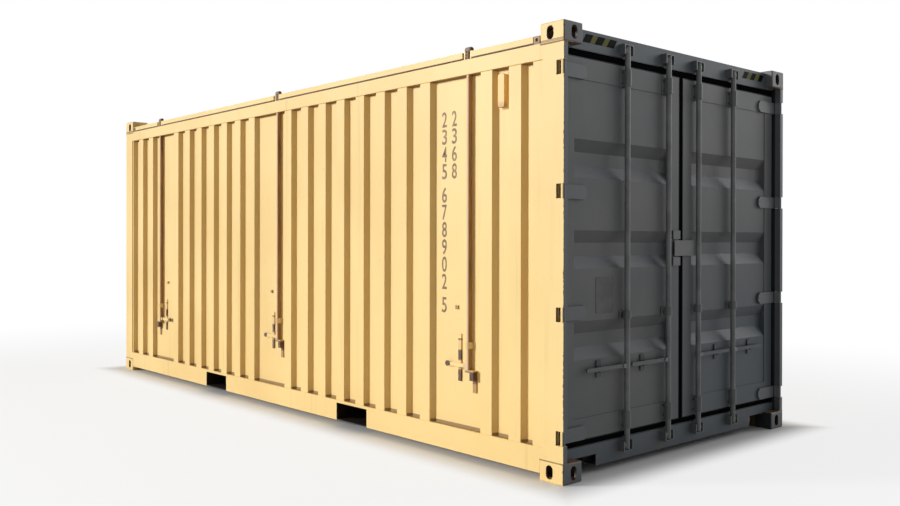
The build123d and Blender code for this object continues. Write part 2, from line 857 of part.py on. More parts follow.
def make_cam(hand, centre_z):
    """Lobe at a rod's end, on the side of its handle."""
    with BuildPart() as cam:
        with BuildSketch(Plane.XY.offset(centre_z - cam_height / 2)):
            with Locations((hand * (cam_reach - cam_thickness / 2) / 2, 0)):
                Rectangle(cam_reach - cam_thickness / 2, cam_thickness)
            with Locations((hand * (cam_reach - cam_thickness / 2), 0)):
                Circle(cam_thickness / 2)
        extrude(amount=cam_height)
    return cam.part


def make_keeper(wall_distance, cam_z, end_z):
    """Keeper welded to a beam: two cheeks beside a cam, joined past the rod's end."""
    inner = cam_reach + keeper_clearance
    outward = 1 if end_z > cam_z else -1
    bridge_z = end_z + outward * keeper_end_gap
    with BuildPart() as keeper:
        block(
            -inner - keeper_cheek, inner + keeper_cheek, -keeper_front, wall_distance,
            cam_z - outward * cam_height, bridge_z + outward * keeper_bridge,
        )
        block(
            -inner, inner, -keeper_front, wall_distance,
            cam_z - outward * cam_height, bridge_z, Mode.SUBTRACT,
        )
        front = keeper.edges().filter_by(Axis.X).group_by(Axis.Y)[0]
        chamfer(front.sort_by(Axis.Z)[-1 if outward > 0 else 0], length=keeper_chamfer)
    return keeper.part


door_gear_distance = door_setback - rod_from_end
rod_x = from_end(rod_from_end)
rod_bottom = sill_top - rod_over_sill
rod_top = header_bottom + rod_over_header
top_cam_z = rod_top - cam_inset
bottom_cam_z = rod_bottom + cam_inset
# Each rod: its name, its Y and the way its handle points, towards the hinges of its door
rods = (
    ("left_outer", -outer_rod_offset, -1),
    ("left_inner", -inner_rod_offset, -1),
    ("right_inner", inner_rod_offset, 1),
    ("right_outer", outer_rod_offset, 1),
)

for name, y, hand in rods:
    with BuildPart() as rod:
        add(make_bar(rod_bottom, rod_top, hand, rod_handle_height))
        add(make_cam(hand, top_cam_z))
        add(make_cam(hand, bottom_cam_z))
    save(placed(rod.part, rod_x, y, "door"), name + "_rod")
    handle = make_handle(door_handle_length, door_grip_radius, hand, rod_handle_height)
    save(placed(handle, rod_x, y, "door"), name + "_rod_handle")

with BuildPart() as keepers:
    beam_distance = beam_setback - rod_from_end
    for name, y, hand in rods:
        add(placed(make_keeper(beam_distance, top_cam_z, rod_top), rod_x, y, "door"))
        add(placed(make_keeper(beam_distance, bottom_cam_z, rod_bottom), rod_x, y, "door"))
save(keepers.part, "rod_keepers")

guides = (
    (door_bottom + bottom_guide_rise, end_guide_height),
    (rod_handle_height + middle_guide_rise, middle_guide_height),
    (door_top - top_guide_drop, end_guide_height),
)
for door, lip, stations in (("left", 0, rods[:2]), ("right", centre_lip, rods[2:])):
    flip = door == "right"
    for piece, name in (
        (door_frame.part, "frame"),
        (door_panel.part, "panel"),
        (make_gasket(lip), "gasket"),
        (hinge_blades.part, "hinges"),
    ):
        save(mirror(piece, about=Plane.XZ) if flip else piece, door + "_door_" + name)
    with BuildPart() as rod_guides:
        for name, y, hand in stations:
            for centre_z, tall in guides:
                saddle = make_saddle(
                    door_gear_distance, guide_wall, guide_plate, guide_plate_width, tall, centre_z
                )
                add(placed(saddle, rod_x, y, "door"))
    save(rod_guides.part, door + "_door_rod_guides")
    with BuildPart() as catches:
        for name, y, hand in stations:
            catch = make_catch(
                door_gear_distance, hand * door_catch_offset, door_catch_width,
                rod_handle_height - door_catch_below, rod_handle_height + door_catch_above,
                door_catch_plate, rod_handle_height,
            )
            add(placed(catch, rod_x, y, "door"))
    save(catches.part, door + "_door_catches")

interlock_centre = (door_bottom + door_top) / 2
with BuildPart() as interlock_plate:
    low_z = interlock_centre - interlock_plate_height / 2
    block(
        door_face, door_face + interlock_thickness, -interlock_overhang, interlock_plate_reach,
        low_z, low_z + interlock_plate_height,
    )
save(interlock_plate.part, "door_interlock_plate")

with BuildPart() as interlock_lugs:
    rise = interlock_plate_height / 2 + interlock_lug_gap + interlock_lug_height / 2
    for centre_z in (interlock_centre - rise, interlock_centre + rise):
        edge = door_y_high - interlock_lug_inset
        block(
            door_face, door_face + interlock_thickness, edge - interlock_lug_reach, edge,
            centre_z - interlock_lug_height / 2, centre_z + interlock_lug_height / 2,
        )
save(interlock_lugs.part, "door_interlock_lugs")

# Roof locks: a bar in a wide recess, through the rail, with a cap that turns over a yoke on the rail
recess_distance = ridge_inset + corrugation_depth - lock_from_side
lock_bar_bottom = lock_handle_height - lock_bar_drop
cap_bottom = roof_top + cap_clearance
lock_names = ("rear", "middle", "front")


def make_lock_bar(hand):
    """Roof lock bar with its cap, in the local frame of its wall."""
    with BuildPart() as bar:
        add(make_bar(lock_bar_bottom, cap_bottom, hand, lock_handle_height))
        with BuildSketch(Plane.XY.offset(cap_bottom)):
            SlotOverall(cap_length, cap_width)
        extrude(amount=cap_height)
        chamfer(bar.faces().sort_by(Axis.Z)[-1].edges(), length=cap_chamfer)
    return bar.part


def make_lock_foot(hand):
    """Bracket that carries a bar's lower end: a shelf under the bar, and a boss and a plate beside it."""
    foot_top = lock_bar_bottom - lock_foot_gap
    middle = -hand * lock_foot_offset
    inner = middle - lock_foot_width / 2
    outer = middle + lock_foot_width / 2
    with BuildPart() as foot:
        block(
            min(inner, -bar_radius), max(outer, bar_radius), -bar_radius, recess_distance,
            foot_top - lock_foot_shelf, foot_top,
        )
        block(inner, outer, -bar_radius, recess_distance, foot_top - lock_foot_boss, foot_top)
        block(
            inner, outer, recess_distance - lock_foot_plate, recess_distance,
            foot_top - lock_foot_height, foot_top,
        )
    return foot.part


def make_lock_yoke():
    """Two legs that stand on the top rail beside a bar, under its cap."""
    half = yoke_depth / 2
    with BuildPart() as yoke:
        for hand in (-1, 1):
            inner = hand * (bar_radius + yoke_clearance)
            block(inner, inner + hand * yoke_leg, -half, half, top_rail_top, cap_bottom - cap_gap)
    return yoke.part


def make_lock_guide():
    """Saddle that holds a bar against the wall above its handle."""
    return make_saddle(
        recess_distance, lock_guide_wall, lock_guide_plate, lock_guide_width,
        lock_guide_height, lock_handle_height + lock_guide_rise,
    )


def make_lock_catch(hand):
    """Catch of a roof lock's handle."""
    return make_catch(
        recess_distance, hand * lock_catch_offset, lock_catch_width,
        lock_handle_height - lock_catch_below, lock_handle_height + lock_catch_above,
        lock_catch_plate, lock_handle_height,
    )


# Each roof lock: its name, its side, its place and the way its handle points in the local frame
lock_stations = [
    (side + "_" + place + "_roof_lock", side, x, y, hand * turn)
    for place, (x, hand) in zip(lock_names, roof_locks)
    for side, y, turn in (("left", lock_y, 1), ("right", -lock_y, -1))
]

with BuildPart() as lock_brackets:
    for name, side, x, y, hand in lock_stations:
        for piece in (make_lock_guide(), make_lock_foot(hand), make_lock_yoke()):
            add(placed(piece, x, y, side))
save(lock_brackets.part, "roof_lock_brackets")

with BuildPart() as lock_catches:
    for name, side, x, y, hand in lock_stations:
        add(placed(make_lock_catch(hand), x, y, side))
save(lock_catches.part, "roof_lock_catches")

for name, side, x, y, hand in lock_stations:
    save(placed(make_lock_bar(hand), x, y, side), name)
    handle = make_handle(lock_handle_length, lock_grip_radius, hand, lock_handle_height)
    save(placed(handle, x, y, side), name + "_handle")
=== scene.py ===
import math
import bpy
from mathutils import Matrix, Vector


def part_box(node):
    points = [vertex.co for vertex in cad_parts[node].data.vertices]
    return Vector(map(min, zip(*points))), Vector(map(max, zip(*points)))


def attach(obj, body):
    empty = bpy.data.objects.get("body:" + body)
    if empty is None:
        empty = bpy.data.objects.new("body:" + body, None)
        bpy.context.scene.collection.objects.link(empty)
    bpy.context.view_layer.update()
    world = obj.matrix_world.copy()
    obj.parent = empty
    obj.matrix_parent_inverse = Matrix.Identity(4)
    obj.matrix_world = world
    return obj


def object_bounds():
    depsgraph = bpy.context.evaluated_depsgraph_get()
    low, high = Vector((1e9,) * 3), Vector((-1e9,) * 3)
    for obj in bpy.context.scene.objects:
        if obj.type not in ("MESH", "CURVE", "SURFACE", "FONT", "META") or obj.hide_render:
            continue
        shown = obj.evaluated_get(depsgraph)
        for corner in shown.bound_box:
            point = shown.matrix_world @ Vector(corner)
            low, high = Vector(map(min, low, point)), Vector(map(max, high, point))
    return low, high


bl_info = {
    "name": "Hard-top container dressing",
    "version": (1, 0, 0),
    "blender": (4, 5, 0),
    "location": "3D View > Sidebar > Container",
    "description": "Paint, seams, fasteners and marks of a twenty-foot hard-top container",
    "category": "Object",
}

import bmesh
import bpy
from bpy.props import FloatProperty, FloatVectorProperty, IntProperty, PointerProperty
from mathutils import Matrix, Quaternion, Vector

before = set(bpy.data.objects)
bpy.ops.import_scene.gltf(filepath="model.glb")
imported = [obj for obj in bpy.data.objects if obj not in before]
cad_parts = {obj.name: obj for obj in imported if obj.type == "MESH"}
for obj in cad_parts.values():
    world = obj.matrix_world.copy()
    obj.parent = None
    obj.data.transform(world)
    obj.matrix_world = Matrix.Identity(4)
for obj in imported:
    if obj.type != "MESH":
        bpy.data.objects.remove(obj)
cad_low, cad_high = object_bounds()

# The container lies along X with its doors at +X, so the side at -Y is its left side.
SIDES = (("left", -1), ("right", 1))
DOOR_END, SIDE = cad_high.x, cad_high.y

# Sizes that the coats follow, in metres. END_ZONE is the reach of the castings and posts at each end.
CASTING_LENGTH, CASTING_WIDTH, CASTING_HEIGHT = 0.178, 0.162, 0.118
END_ZONE = 0.18
# The stops that stand on the top rails make the node's box taller than the rails.
RAIL_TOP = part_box("top_side_rails")[0].z + 0.094
# The side walls lie outside the first distance from the middle, and their recesses inside the second.
WALLS_OUT, RECESS_OUT = 1.15, 1.205


def screen(red, green, blue):
    """Scene colour of a paint that shows as these 0 to 255 values on a screen."""
    parts = [c / 255 for c in (red, green, blue)]
    return tuple(c / 12.92 if c <= 0.04045 else ((c + 0.055) / 1.055) ** 2.4 for c in parts)


def paint_property(name, description, default):
    """A colour that a user can change."""
    return FloatVectorProperty(
        name=name, description=description, default=default, subtype="COLOR", size=3, min=0, max=1
    )


def size_property(name, description, default):
    """A length in metres that a user can change."""
    return FloatProperty(
        name=name, description=description, default=default, min=0, unit="LENGTH", subtype="DISTANCE"
    )


def share_property(name, description, default):
    """A share from 0 to 1 that a user can change."""
    return FloatProperty(
        name=name, description=description, default=default, min=0, max=1, subtype="FACTOR"
    )


class PaintSettings(bpy.types.PropertyGroup):
    """Colours and wear of the coats."""

    sand: paint_property("Sand", "Paint of the sides", screen(250, 218, 148))
    sand_faded: paint_property("Faded sand", "Sand paint where it is dull", screen(243, 209, 138))
    # The sand grime is also the colour of the painted shade on the webs of the side walls.
    sand_grime_and_shade: paint_property("Sand grime", "Dirt washed down the sides", screen(205, 170, 104))
    slate: paint_property("Slate", "Paint of the door end", screen(91, 94, 95))
    slate_faded: paint_property("Faded slate", "Slate paint where it is dusty", screen(101, 103, 102))
    # In slate_steel this blue-grey is a painted reflection of the sky on faces that look up; elsewhere it
    # is a plain darker tone.
    slate_sky: paint_property("Sky slate", "Slate where it faces up or stays damp", screen(76, 84, 91))
    gear: paint_property("Gear", "Worn paint of the rods", screen(126, 129, 128))
    rust: paint_property("Rust", "Fresh rust", screen(142, 82, 44))
    old_rust: paint_property("Old rust", "Dark rust in corners", screen(74, 44, 32))
    bar: paint_property("Bar", "Greased brown of the roof lock gear", screen(118, 82, 44))
    # Painted shade: the brown that stands for the shaded side of the roof lock bars.
    bar_shade: paint_property("Grease", "Brown film on the bars' side to the doors", screen(166, 120, 66))
    bar_pale: paint_property("Pale bar", "Old paint of the roof lock bars", screen(232, 200, 160))
    plate: paint_property("Plate", "Stained paint at the foot of the bars", screen(176, 138, 82))
    vent: paint_property("Vent", "Paint of the vent covers", screen(240, 196, 112))
    rubber: paint_property("Rubber", "Door and roof seals", screen(14, 16, 17))
    base: paint_property("Base", "Coating under the floor", screen(30, 24, 21))
    ply: paint_property("Ply", "Floor boards", screen(134, 96, 62))
    mark: paint_property("Mark", "Stencilled marks on the sides", screen(108, 80, 42))
    hazard: paint_property("Hazard", "Light stripes of the header", screen(118, 116, 74))
    rust_amount: share_property("Rust amount", "How far the rust has spread", 0.5)
    grime_amount: share_property("Grime amount", "How dirty the coats are", 0.4)


class SeamSettings(bpy.types.PropertyGroup):
    """Weld beads along the joints."""

    bead_radius: size_property("Bead radius", "Half width of a weld bead", 0.0035)
    ripple_length: size_property("Ripple length", "Length of one ripple of a bead", 0.012)
    sheet: size_property("Sheet", "Thickness of the wall sheets", 0.002)


class FastenerSettings(bpy.types.PropertyGroup):
    """Bolt, rivet and screw heads."""

    bolt_radius: size_property("Bolt radius", "Half width of a bolt head", 0.009)
    bolt_height: size_property("Bolt height", "Height of a bolt head", 0.006)
    bolt_inset: size_property("Bolt inset", "Distance of a bolt from the edges of its plate", 0.016)
    screw_radius: size_property("Screw radius", "Half width of a floor screw", 0.008)
    screw_height: size_property("Screw height", "Height of a floor screw over the boards", 0.0008)
    screw_rows: IntProperty(
        name="Screws in a row", description="Floor screws on a cross member", default=14, min=2
    )


class MarkSettings(bpy.types.PropertyGroup):
    """Plain numbers on the sides, hazard stripes and the blank plate."""

    digit_height: size_property("Digit height", "Height of a number", 0.0985)
    digit_width: size_property("Digit width", "Width of a number", 0.046)
    digit_pitch: size_property("Digit pitch", "Step from one number to the next below", 0.1111)
    group_gap: size_property("Group gap", "Extra space between groups", 0.039)
    column_top: size_property("Column top", "Height of the top of the columns", 2.186)
    film: size_property("Film", "Thickness of paint and foil", 0.0006)


class StageSettings(bpy.types.PropertyGroup):
    """Floor, lamps and camera."""

    ambient: FloatProperty(name="Ambient", description="Light from all round", default=0.19, min=0)
    key: FloatProperty(name="Key", description="Strength of the main lamp", default=2.75, min=0)
    fill: FloatProperty(name="Fill", description="Strength of the far lamp", default=0.85, min=0)
    floor: paint_property("Floor", "Studio floor", screen(236, 236, 235))


class Number:
    """A number socket, on which Python's operators add Math nodes."""

    def __init__(self, graph, socket):
        self.graph = graph
        self.socket = socket

    def math(self, operation, first, second=0.0):
        node = self.graph.add("ShaderNodeMath", {0: first, 1: second}, operation=operation)
        return Number(self.graph, node.outputs[0])

    def __add__(self, other):
        return self.math("ADD", self, other)

    def __sub__(self, other):
        return self.math("SUBTRACT", self, other)

    def __rsub__(self, other):
        return self.math("SUBTRACT", other, self)

    def __mul__(self, other):
        return self.math("MULTIPLY", self, other)

    __radd__ = __add__
    __rmul__ = __mul__

    def __abs__(self):
        return self.math("ABSOLUTE", self)

    def above(self, edge):
        """1 where the number is over the edge, otherwise 0."""
        return self.math("GREATER_THAN", self, edge)

    def below(self, edge):
        """1 where the number isn't over the edge, otherwise 0."""
        return 1 - self.above(edge)

    def between(self, low, high):
        """1 between two edges, otherwise 0."""
        return self.above(low) * self.below(high)

    def near(self, middle, reach):
        """1 within reach of a middle, otherwise 0."""
        return abs(self - middle).below(reach)

    def cycle(self, period):
        """Rest of the number over a period."""
        return self.math("FLOORED_MODULO", self, period)

    def most(self, other):
        """The larger of two numbers."""
        return self.math("MAXIMUM", self, other)

    def fade(self, start, end):
        """Smooth step that is 0 at start and 1 at end."""
        inputs = {"Value": self, "From Min": start, "From Max": end}
        node = self.graph.add("ShaderNodeMapRange", inputs, interpolation_type="SMOOTHSTEP")
        return Number(self.graph, node.outputs[0])


class Graph:
    """The nodes of one tree."""

    def __init__(self, tree):
        self.nodes = tree.nodes
        self.links = tree.links
        self.nodes.clear()

    def add(self, kind, inputs=None, **settings):
        """Adds a node: its settings first, then a link or a plain value for each socket."""
        node = self.nodes.new(kind)
        for name, setting in settings.items():
            setattr(node, name, setting)
        for name, value in (inputs or {}).items():
            if isinstance(value, Number):
                value = value.socket
            if isinstance(value, bpy.types.NodeSocket):
                self.links.new(value, node.inputs[name])
            else:
                node.inputs[name].default_value = value
        return node


class Finish(Graph):
    """A material on a piece's own coordinates."""

    def __init__(self, name, specular=0.5, roughness=0.5):
        self.material = bpy.data.materials.new(name)
        self.material.use_nodes = True
        super().__init__(self.material.node_tree)
        coordinates = self.add("ShaderNodeTexCoord")
        self.place = coordinates.outputs["Object"]
        self.x, self.y, self.z = self.split(self.place)
        self.facing_x, self.facing_y, self.facing_z = self.split(coordinates.outputs["Normal"])
        uniform = {"Specular IOR Level": specular, "Roughness": roughness}
        self.shader = self.add("ShaderNodeBsdfPrincipled", uniform)
        self.add("ShaderNodeOutputMaterial", {"Surface": self.shader.outputs[0]})

    def split(self, vector):
        """X, Y and Z of a vector."""
        node = self.add("ShaderNodeSeparateXYZ", {0: vector})
        return [Number(self, socket) for socket in node.outputs]

    def noise(self, scale, stretch=(1, 1, 1), detail=2.0, shift=0.0):
        """Noise around 0.5, with its grains squeezed by stretch."""
        squeeze = {"Vector": self.place, "Location": (shift,) * 3, "Scale": stretch}
        mapped = self.add("ShaderNodeMapping", squeeze)
        inputs = {"Vector": mapped.outputs[0], "Scale": scale, "Detail": detail}
        return Number(self, self.add("ShaderNodeTexNoise", inputs).outputs[0])

    def mix(self, factor, first, second):
        """The first colour at factor 0 and the second at 1."""
        colours = [(*c, 1) if not isinstance(c, bpy.types.NodeSocket) else c for c in (first, second)]
        node = self.add("ShaderNodeMix", {0: factor, 6: colours[0], 7: colours[1]}, data_type="RGBA")
        return node.outputs[2]

    def coat(self, colour, roughness=None):
        """Drives the colour of the shader, and its roughness where that varies."""
        self.links.new(colour, self.shader.inputs["Base Color"])
        if roughness is not None:
            self.links.new(roughness.socket, self.shader.inputs["Roughness"])

    def bump(self, height, depth):
        """Raises the surface by height times depth, in metres."""
        node = self.add("ShaderNodeBump", {"Height": height, "Strength": 1.0, "Distance": depth})
        self.links.new(node.outputs[0], self.shader.inputs["Normal"])


def orange_peel(finish):
    """Fine grain of a sprayed coat over a sheet that is slightly wavy."""
    grain = finish.noise(420.0, detail=1.0, shift=3.0)
    waves = finish.noise(2.6, shift=7.0)
    finish.bump(grain * 0.12 + waves * 0.5, 0.0016)


def rusted(finish, colour, where, paint):
    """Adds rust where noise passes the start level. The mask named where lowers that level."""
    start = 0.74
    grain = finish.noise(46.0, detail=5.0, shift=9.0)
    patch = finish.noise(7.0, detail=3.0, shift=2.0)
    level = grain * 0.62 + patch * 0.38 + where * (0.2 + 0.2 * paint.rust_amount)
    cover = level.fade(start, start + 0.06)
    halo = level.fade(start - 0.08, start + 0.04) * 0.45
    tint = finish.mix(finish.noise(90.0, shift=5.0).fade(0.35, 0.65), paint.old_rust, paint.rust)
    stained = finish.mix(halo, colour, paint.rust)
    return finish.mix(cover, stained, tint), cover


def sand_coat(finish, paint):
    """Faded sand paint with slow changes of tone and grime washed down by rain."""
    drift = finish.noise(0.8, detail=3.0)
    wash = finish.noise(2.4, stretch=(6.0, 6.0, 0.3), detail=3.0, shift=4.0)
    dust = finish.noise(24.0, detail=4.0, shift=6.0)
    tone = finish.mix(drift.fade(0.35, 0.62), paint.sand_faded, paint.sand)
    grime = wash.fade(0.56, 0.8) * 0.6 + dust.fade(0.58, 0.8) * 0.25
    low = finish.z.fade(0.5, 0.0)
    return finish.mix((grime + low * 0.18) * paint.grime_amount, tone, paint.sand_grime_and_shade)


def slate_coat(finish, paint):
    """Slate paint with dust on it."""
    drift = finish.noise(1.6, detail=4.0, shift=1.0)
    wash = finish.noise(3.0, stretch=(5.0, 5.0, 0.4), detail=3.0, shift=8.0)
    tone = finish.mix(drift.fade(0.32, 0.68), paint.slate, paint.slate_faded)
    return finish.mix(wash.fade(0.55, 0.8) * paint.grime_amount, tone, paint.slate_faded)


def frame_edges(finish):
    """Mask of the places where a frame loses its paint first: casting tops, feet and the rear edge."""
    top_band, foot_band, rear_band, worn_band = 0.014, 0.08, 0.012, 0.002
    edge_band, edge = 0.007, 0.003
    corner = abs(finish.y).fade(SIDE - edge_band, SIDE - edge)
    top = finish.z.fade(cad_high.z - top_band, cad_high.z - worn_band)
    foot = finish.z.fade(foot_band, 0.0)
    rear = finish.x.fade(DOOR_END - rear_band, DOOR_END - worn_band) * corner
    return (top * 0.6).most(foot * 0.5).most(rear * 0.85)


def joint_and_shadow_lines(finish):
    """Mask of the thin dark lines where the castings meet the posts, and of painted shadow in the gap under
    the roof's edge and at the head and foot of each recess.
    """
    casting_line, lid_line, sheet_line, sheet_shade = 0.004, 0.007, 0.011, 0.012
    lid_side, lid_rise, sheet_rise = 1.2, 0.003, 0.007
    side = abs(finish.y)
    at_ends = abs(finish.x).above(DOOR_END - END_ZONE)
    lower = finish.z.near(CASTING_HEIGHT, casting_line)
    upper = finish.z.near(cad_high.z - CASTING_HEIGHT, casting_line)
    # Painted shadow lines: in the gap under the roof's edge, and at the head and foot of each recess.
    lid = finish.z.near(RAIL_TOP + lid_rise, lid_line) * side.above(lid_side)
    wall_low, wall_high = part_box("side_wall_left")
    in_recess = side.between(WALLS_OUT, RECESS_OUT) * (1 - at_ends)
    foot = finish.z.near(wall_low.z + sheet_rise, sheet_line)
    head = finish.z.fade(wall_high.z - sheet_shade, wall_high.z - sheet_shade / 2)
    return (lower.most(upper) * at_ends).most(lid).most(foot.most(head) * in_recess)


def in_casting(finish):
    """Mask of the inside of the corner castings and of the walls of their apertures."""
    skin = 0.003
    middle = cad_high.z / 2
    along = abs(finish.x).between(DOOR_END - CASTING_LENGTH + skin, DOOR_END - skin)
    across = abs(finish.y).between(SIDE - CASTING_WIDTH + skin, SIDE - skin)
    up = abs(finish.z - middle).between(middle - CASTING_HEIGHT + skin, middle - skin)
    return along * across * up


def roof_stops(finish):
    """Mask of the stops on the top rails, between the castings and the roof's edge."""
    stop_reach, clear = 0.232, 0.001
    along = abs(finish.x).between(DOOR_END - stop_reach, DOOR_END - END_ZONE)
    return finish.z.above(RAIL_TOP + clear) * along


def web_shade(finish):
    """Mask of the slanting webs of the side walls, which get a painted shade."""
    rail_face = 0.004
    slant = abs(finish.facing_x).fade(0.3, 0.7)
    return slant * abs(finish.y).between(WALLS_OUT, SIDE - rail_face)


def rear_posts(finish):
    """Mask of the stretch at the door end that the rear posts take up."""
    post_length = 0.13
    return finish.x.above(DOOR_END - post_length)


def post_insides(finish):
    """Mask of the rear posts' inner faces: those away from the side, and those that look inwards."""
    post_face = 0.035
    inward = (finish.y * finish.facing_y).below(-0.5)
    return abs(finish.y).below(SIDE - post_face).most(inward)


def shaded_gaps(finish):
    """Mask of the deep gaps beside the doors and beside the sill, which are painted black as shade."""
    side = abs(finish.y)
    door_gap, door_depth = 1.17, 0.044
    notch_side, notch_top, notch_reach, notch_face = 1.06, 0.12, 0.2, 0.004
    beside_door = side.above(door_gap) * finish.x.below(DOOR_END - door_depth) * post_insides(finish)
    beside_sill = side.below(notch_side) * finish.z.below(notch_top)
    beside_sill = beside_sill * finish.x.between(DOOR_END - notch_reach, DOOR_END - notch_face)
    return (beside_door * rear_posts(finish)).most(beside_sill)


def sand_steel(paint):
    """Frame, walls and roof. The coat changes to slate on the door end's own faces."""
    finish = Finish("sand_steel", specular=0.35)
    rear_faces = finish.facing_x.above(0.55).most(post_insides(finish))
    slate = finish.mix(0.35, slate_coat(finish, paint), paint.slate_sky)
    # Painted shade: the webs of the side walls are darkened towards the grime colour.
    sand = finish.mix(web_shade(finish) * 0.55, sand_coat(finish, paint), paint.sand_grime_and_shade)
    coat = finish.mix(rear_posts(finish) * rear_faces, sand, slate)
    # Over the coat go the dark lines at the castings with painted shadow lines, the brown stops, the rusty
    # insides of the castings and painted black shade in the deep gaps.
    for mask, share, colour in (
        (joint_and_shadow_lines(finish), 0.75, paint.bar),
        (roof_stops(finish), 0.8, paint.bar),
        (in_casting(finish), 0.9, paint.old_rust),
        (shaded_gaps(finish), 0.9, paint.rubber),
    ):
        coat = finish.mix(mask * share, coat, colour)
    colour, cover = rusted(finish, coat, frame_edges(finish), paint)
    finish.coat(colour, cover * 0.35 + 0.48)
    orange_peel(finish)
    return finish.material


def seal_lips_and_shade(finish):
    """Mask of the edges of doors, header and sill painted black as the lips of the seals and as painted
    shade of the gaps; the band over the sill's top is painted shade.
    """
    header_low, sill_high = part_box("door_header")[0].z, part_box("door_sill")[1].z
    door_low, door_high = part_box("left_door_frame")
    lip, sill_shade, face = 0.006, 0.022, 0.001
    side = abs(finish.y)
    centre = side.below(abs(door_high.y) + lip)
    hinged = side.above(abs(door_low.y) - lip) * finish.x.below(door_high.x - face)
    doors = centre.most(hinged) * finish.z.between(sill_high, header_low)
    over = finish.z.between(door_high.z - lip, header_low + lip)
    under = finish.z.between(sill_high - sill_shade, door_low.z + lip)
    return doors.most(over).most(under)


def slate_steel(paint):
    """Doors, their handles, the header and the sill."""
    finish = Finish("slate_steel", specular=0.25)
    header_low, sill_high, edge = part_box("door_header")[0].z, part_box("door_sill")[1].z, 0.005
    foot = finish.z.fade(0.3, 0.1)
    faces_down = finish.facing_z.fade(-0.2, -0.5)
    faces_up = finish.facing_z.fade(0.2, 0.5)
    # Bluer and darker towards the right door's lower part.
    damp = finish.y.fade(-0.7, 0.9) * finish.z.fade(1.7, 0.5) * 0.9
    beams = finish.z.above(header_low - edge).most(finish.z.below(sill_high + edge)) * 0.75
    # Faces that look up turn blue-grey as a painted reflection of the sky; the header, the sill and the
    # right door's lower part turn the same blue-grey.
    sky = (faces_up * 0.9).most(damp).most(beams)
    coat = finish.mix(sky, slate_coat(finish, paint), paint.slate_sky)
    # Painted shade: faces that look down, and more faintly faces that look up, are darkened towards the
    # base colour.
    coat = finish.mix((faces_down * 0.35).most(faces_up * 0.24), coat, paint.base)
    # Black of the seal lips, with painted shade in the gaps round the doors and over the sill's top.
    coat = finish.mix(seal_lips_and_shade(finish), coat, paint.rubber)
    colour, cover = rusted(finish, coat, foot * 0.3, paint)
    finish.coat(colour, cover * 0.3 + 0.5)
    orange_peel(finish)
    return finish.material


def gear_coat(name, first, second, paint):
    """Paint between two colours, chipped and rusty in places."""
    finish = Finish(name, specular=0.3)
    chips = finish.noise(60.0, stretch=(1, 1, 0.4), detail=4.0)
    tone = finish.mix(finish.noise(5.0, detail=3.0).fade(0.3, 0.7), first, second)
    colour, cover = rusted(finish, tone, chips.fade(0.55, 0.75) * 0.3, paint)
    finish.coat(colour, cover * 0.3 + 0.45)
    finish.bump(finish.noise(300.0), 0.0006)
    return finish.material


def gear_steel(paint):
    """Keepers, guides and interlock of the doors."""
    return gear_coat("gear_steel", paint.slate, paint.slate_faded, paint)


def rod_steel(paint):
    """Door rods, rubbed to a lighter grey."""
    return gear_coat("rod_steel", paint.slate_faded, paint.gear, paint)


def dark_steel(paint):
    """Bolts and handle catches, dark with old grease."""
    return gear_coat("dark_steel", paint.base, paint.slate_sky, paint)


def brown_bar(paint):
    """Roof lock bars: old pale paint, a painted shade of stained brown on the side to the doors, and rust
    at the cap.
    """
    finish = Finish("brown_bar", specular=0.3)
    cap_reach = 0.12
    stain = finish.noise(14.0, stretch=(1, 1, 0.25), detail=4.0)
    # Painted shade: stained brown on the side that faces the doors, in place of the pale paint.
    film = finish.mix(stain.fade(0.4, 0.7), paint.bar_shade, paint.bar)
    colour = finish.mix(finish.facing_x.fade(0.45, 0.75), paint.bar_pale, film)
    cap = finish.z.above(cad_high.z - cap_reach)
    finish.coat(finish.mix(cap * 0.8, colour, paint.old_rust), stain * 0.3 + 0.35)
    finish.bump(finish.noise(180.0, detail=3.0), 0.0008)
    return finish.material


def bare_gear(finish):
    """Mask of the steel that hands and hooks rub bare: the handles' grips and the catches' hooks."""
    handle_low, handle_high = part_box("left_rear_roof_lock_handle")
    catch_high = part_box("roof_lock_catches")[1]
    soft_edge, hook, grip_half, grip_reach = 0.02, 0.03, 0.022, 0.024
    level = finish.z.fade(handle_low.z - soft_edge, handle_low.z)
    level = level * finish.z.fade(handle_high.z + soft_edge, handle_high.z)
    bare = 1 - level.most(finish.z.above(catch_high.z - hook))
    # A grip hangs at its handle's low end in X, and at the high end on the front locks.
    for place, tip, inward in (("rear", 0, 1), ("middle", 0, 1), ("front", 1, -1)):
        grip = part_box("left_" + place + "_roof_lock_handle")[tip].x + inward * grip_half
        bare = bare.most(finish.x.near(grip, grip_reach))
    guide_bottom, guide_top, blur = 0.67, 0.74, 0.01
    guide = finish.z.fade(guide_bottom, guide_bottom + blur) * finish.z.fade(guide_top, guide_top - blur)
    return bare * (1 - guide * 0.8)


def worn_gear(paint):
    """Roof lock handles, guides, feet and catches: sand paint, worn to brown steel in use."""
    finish = Finish("worn_gear")
    wear = finish.noise(26.0, detail=4.0, shift=1.5)
    foot_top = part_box("roof_lock_catches")[0].z
    brown = finish.mix(wear.fade(0.35, 0.65), paint.bar, paint.old_rust)
    brown = finish.mix(finish.z.fade(foot_top, foot_top - 0.01), brown, paint.plate)
    colour = finish.mix(bare_gear(finish), sand_coat(finish, paint), brown)
    colour, cover = rusted(finish, colour, wear * 0.5, paint)
    finish.coat(colour, cover * 0.3 + 0.45)
    finish.bump(wear, 0.0012)
    return finish.material


def lug_steel(paint):
    """Small lugs, brown with rust."""
    finish = Finish("lug_steel", roughness=0.6)
    wear = finish.noise(60.0, detail=3.0)
    finish.coat(finish.mix(wear.fade(0.4, 0.6), paint.bar, paint.sand_grime_and_shade))
    return finish.material


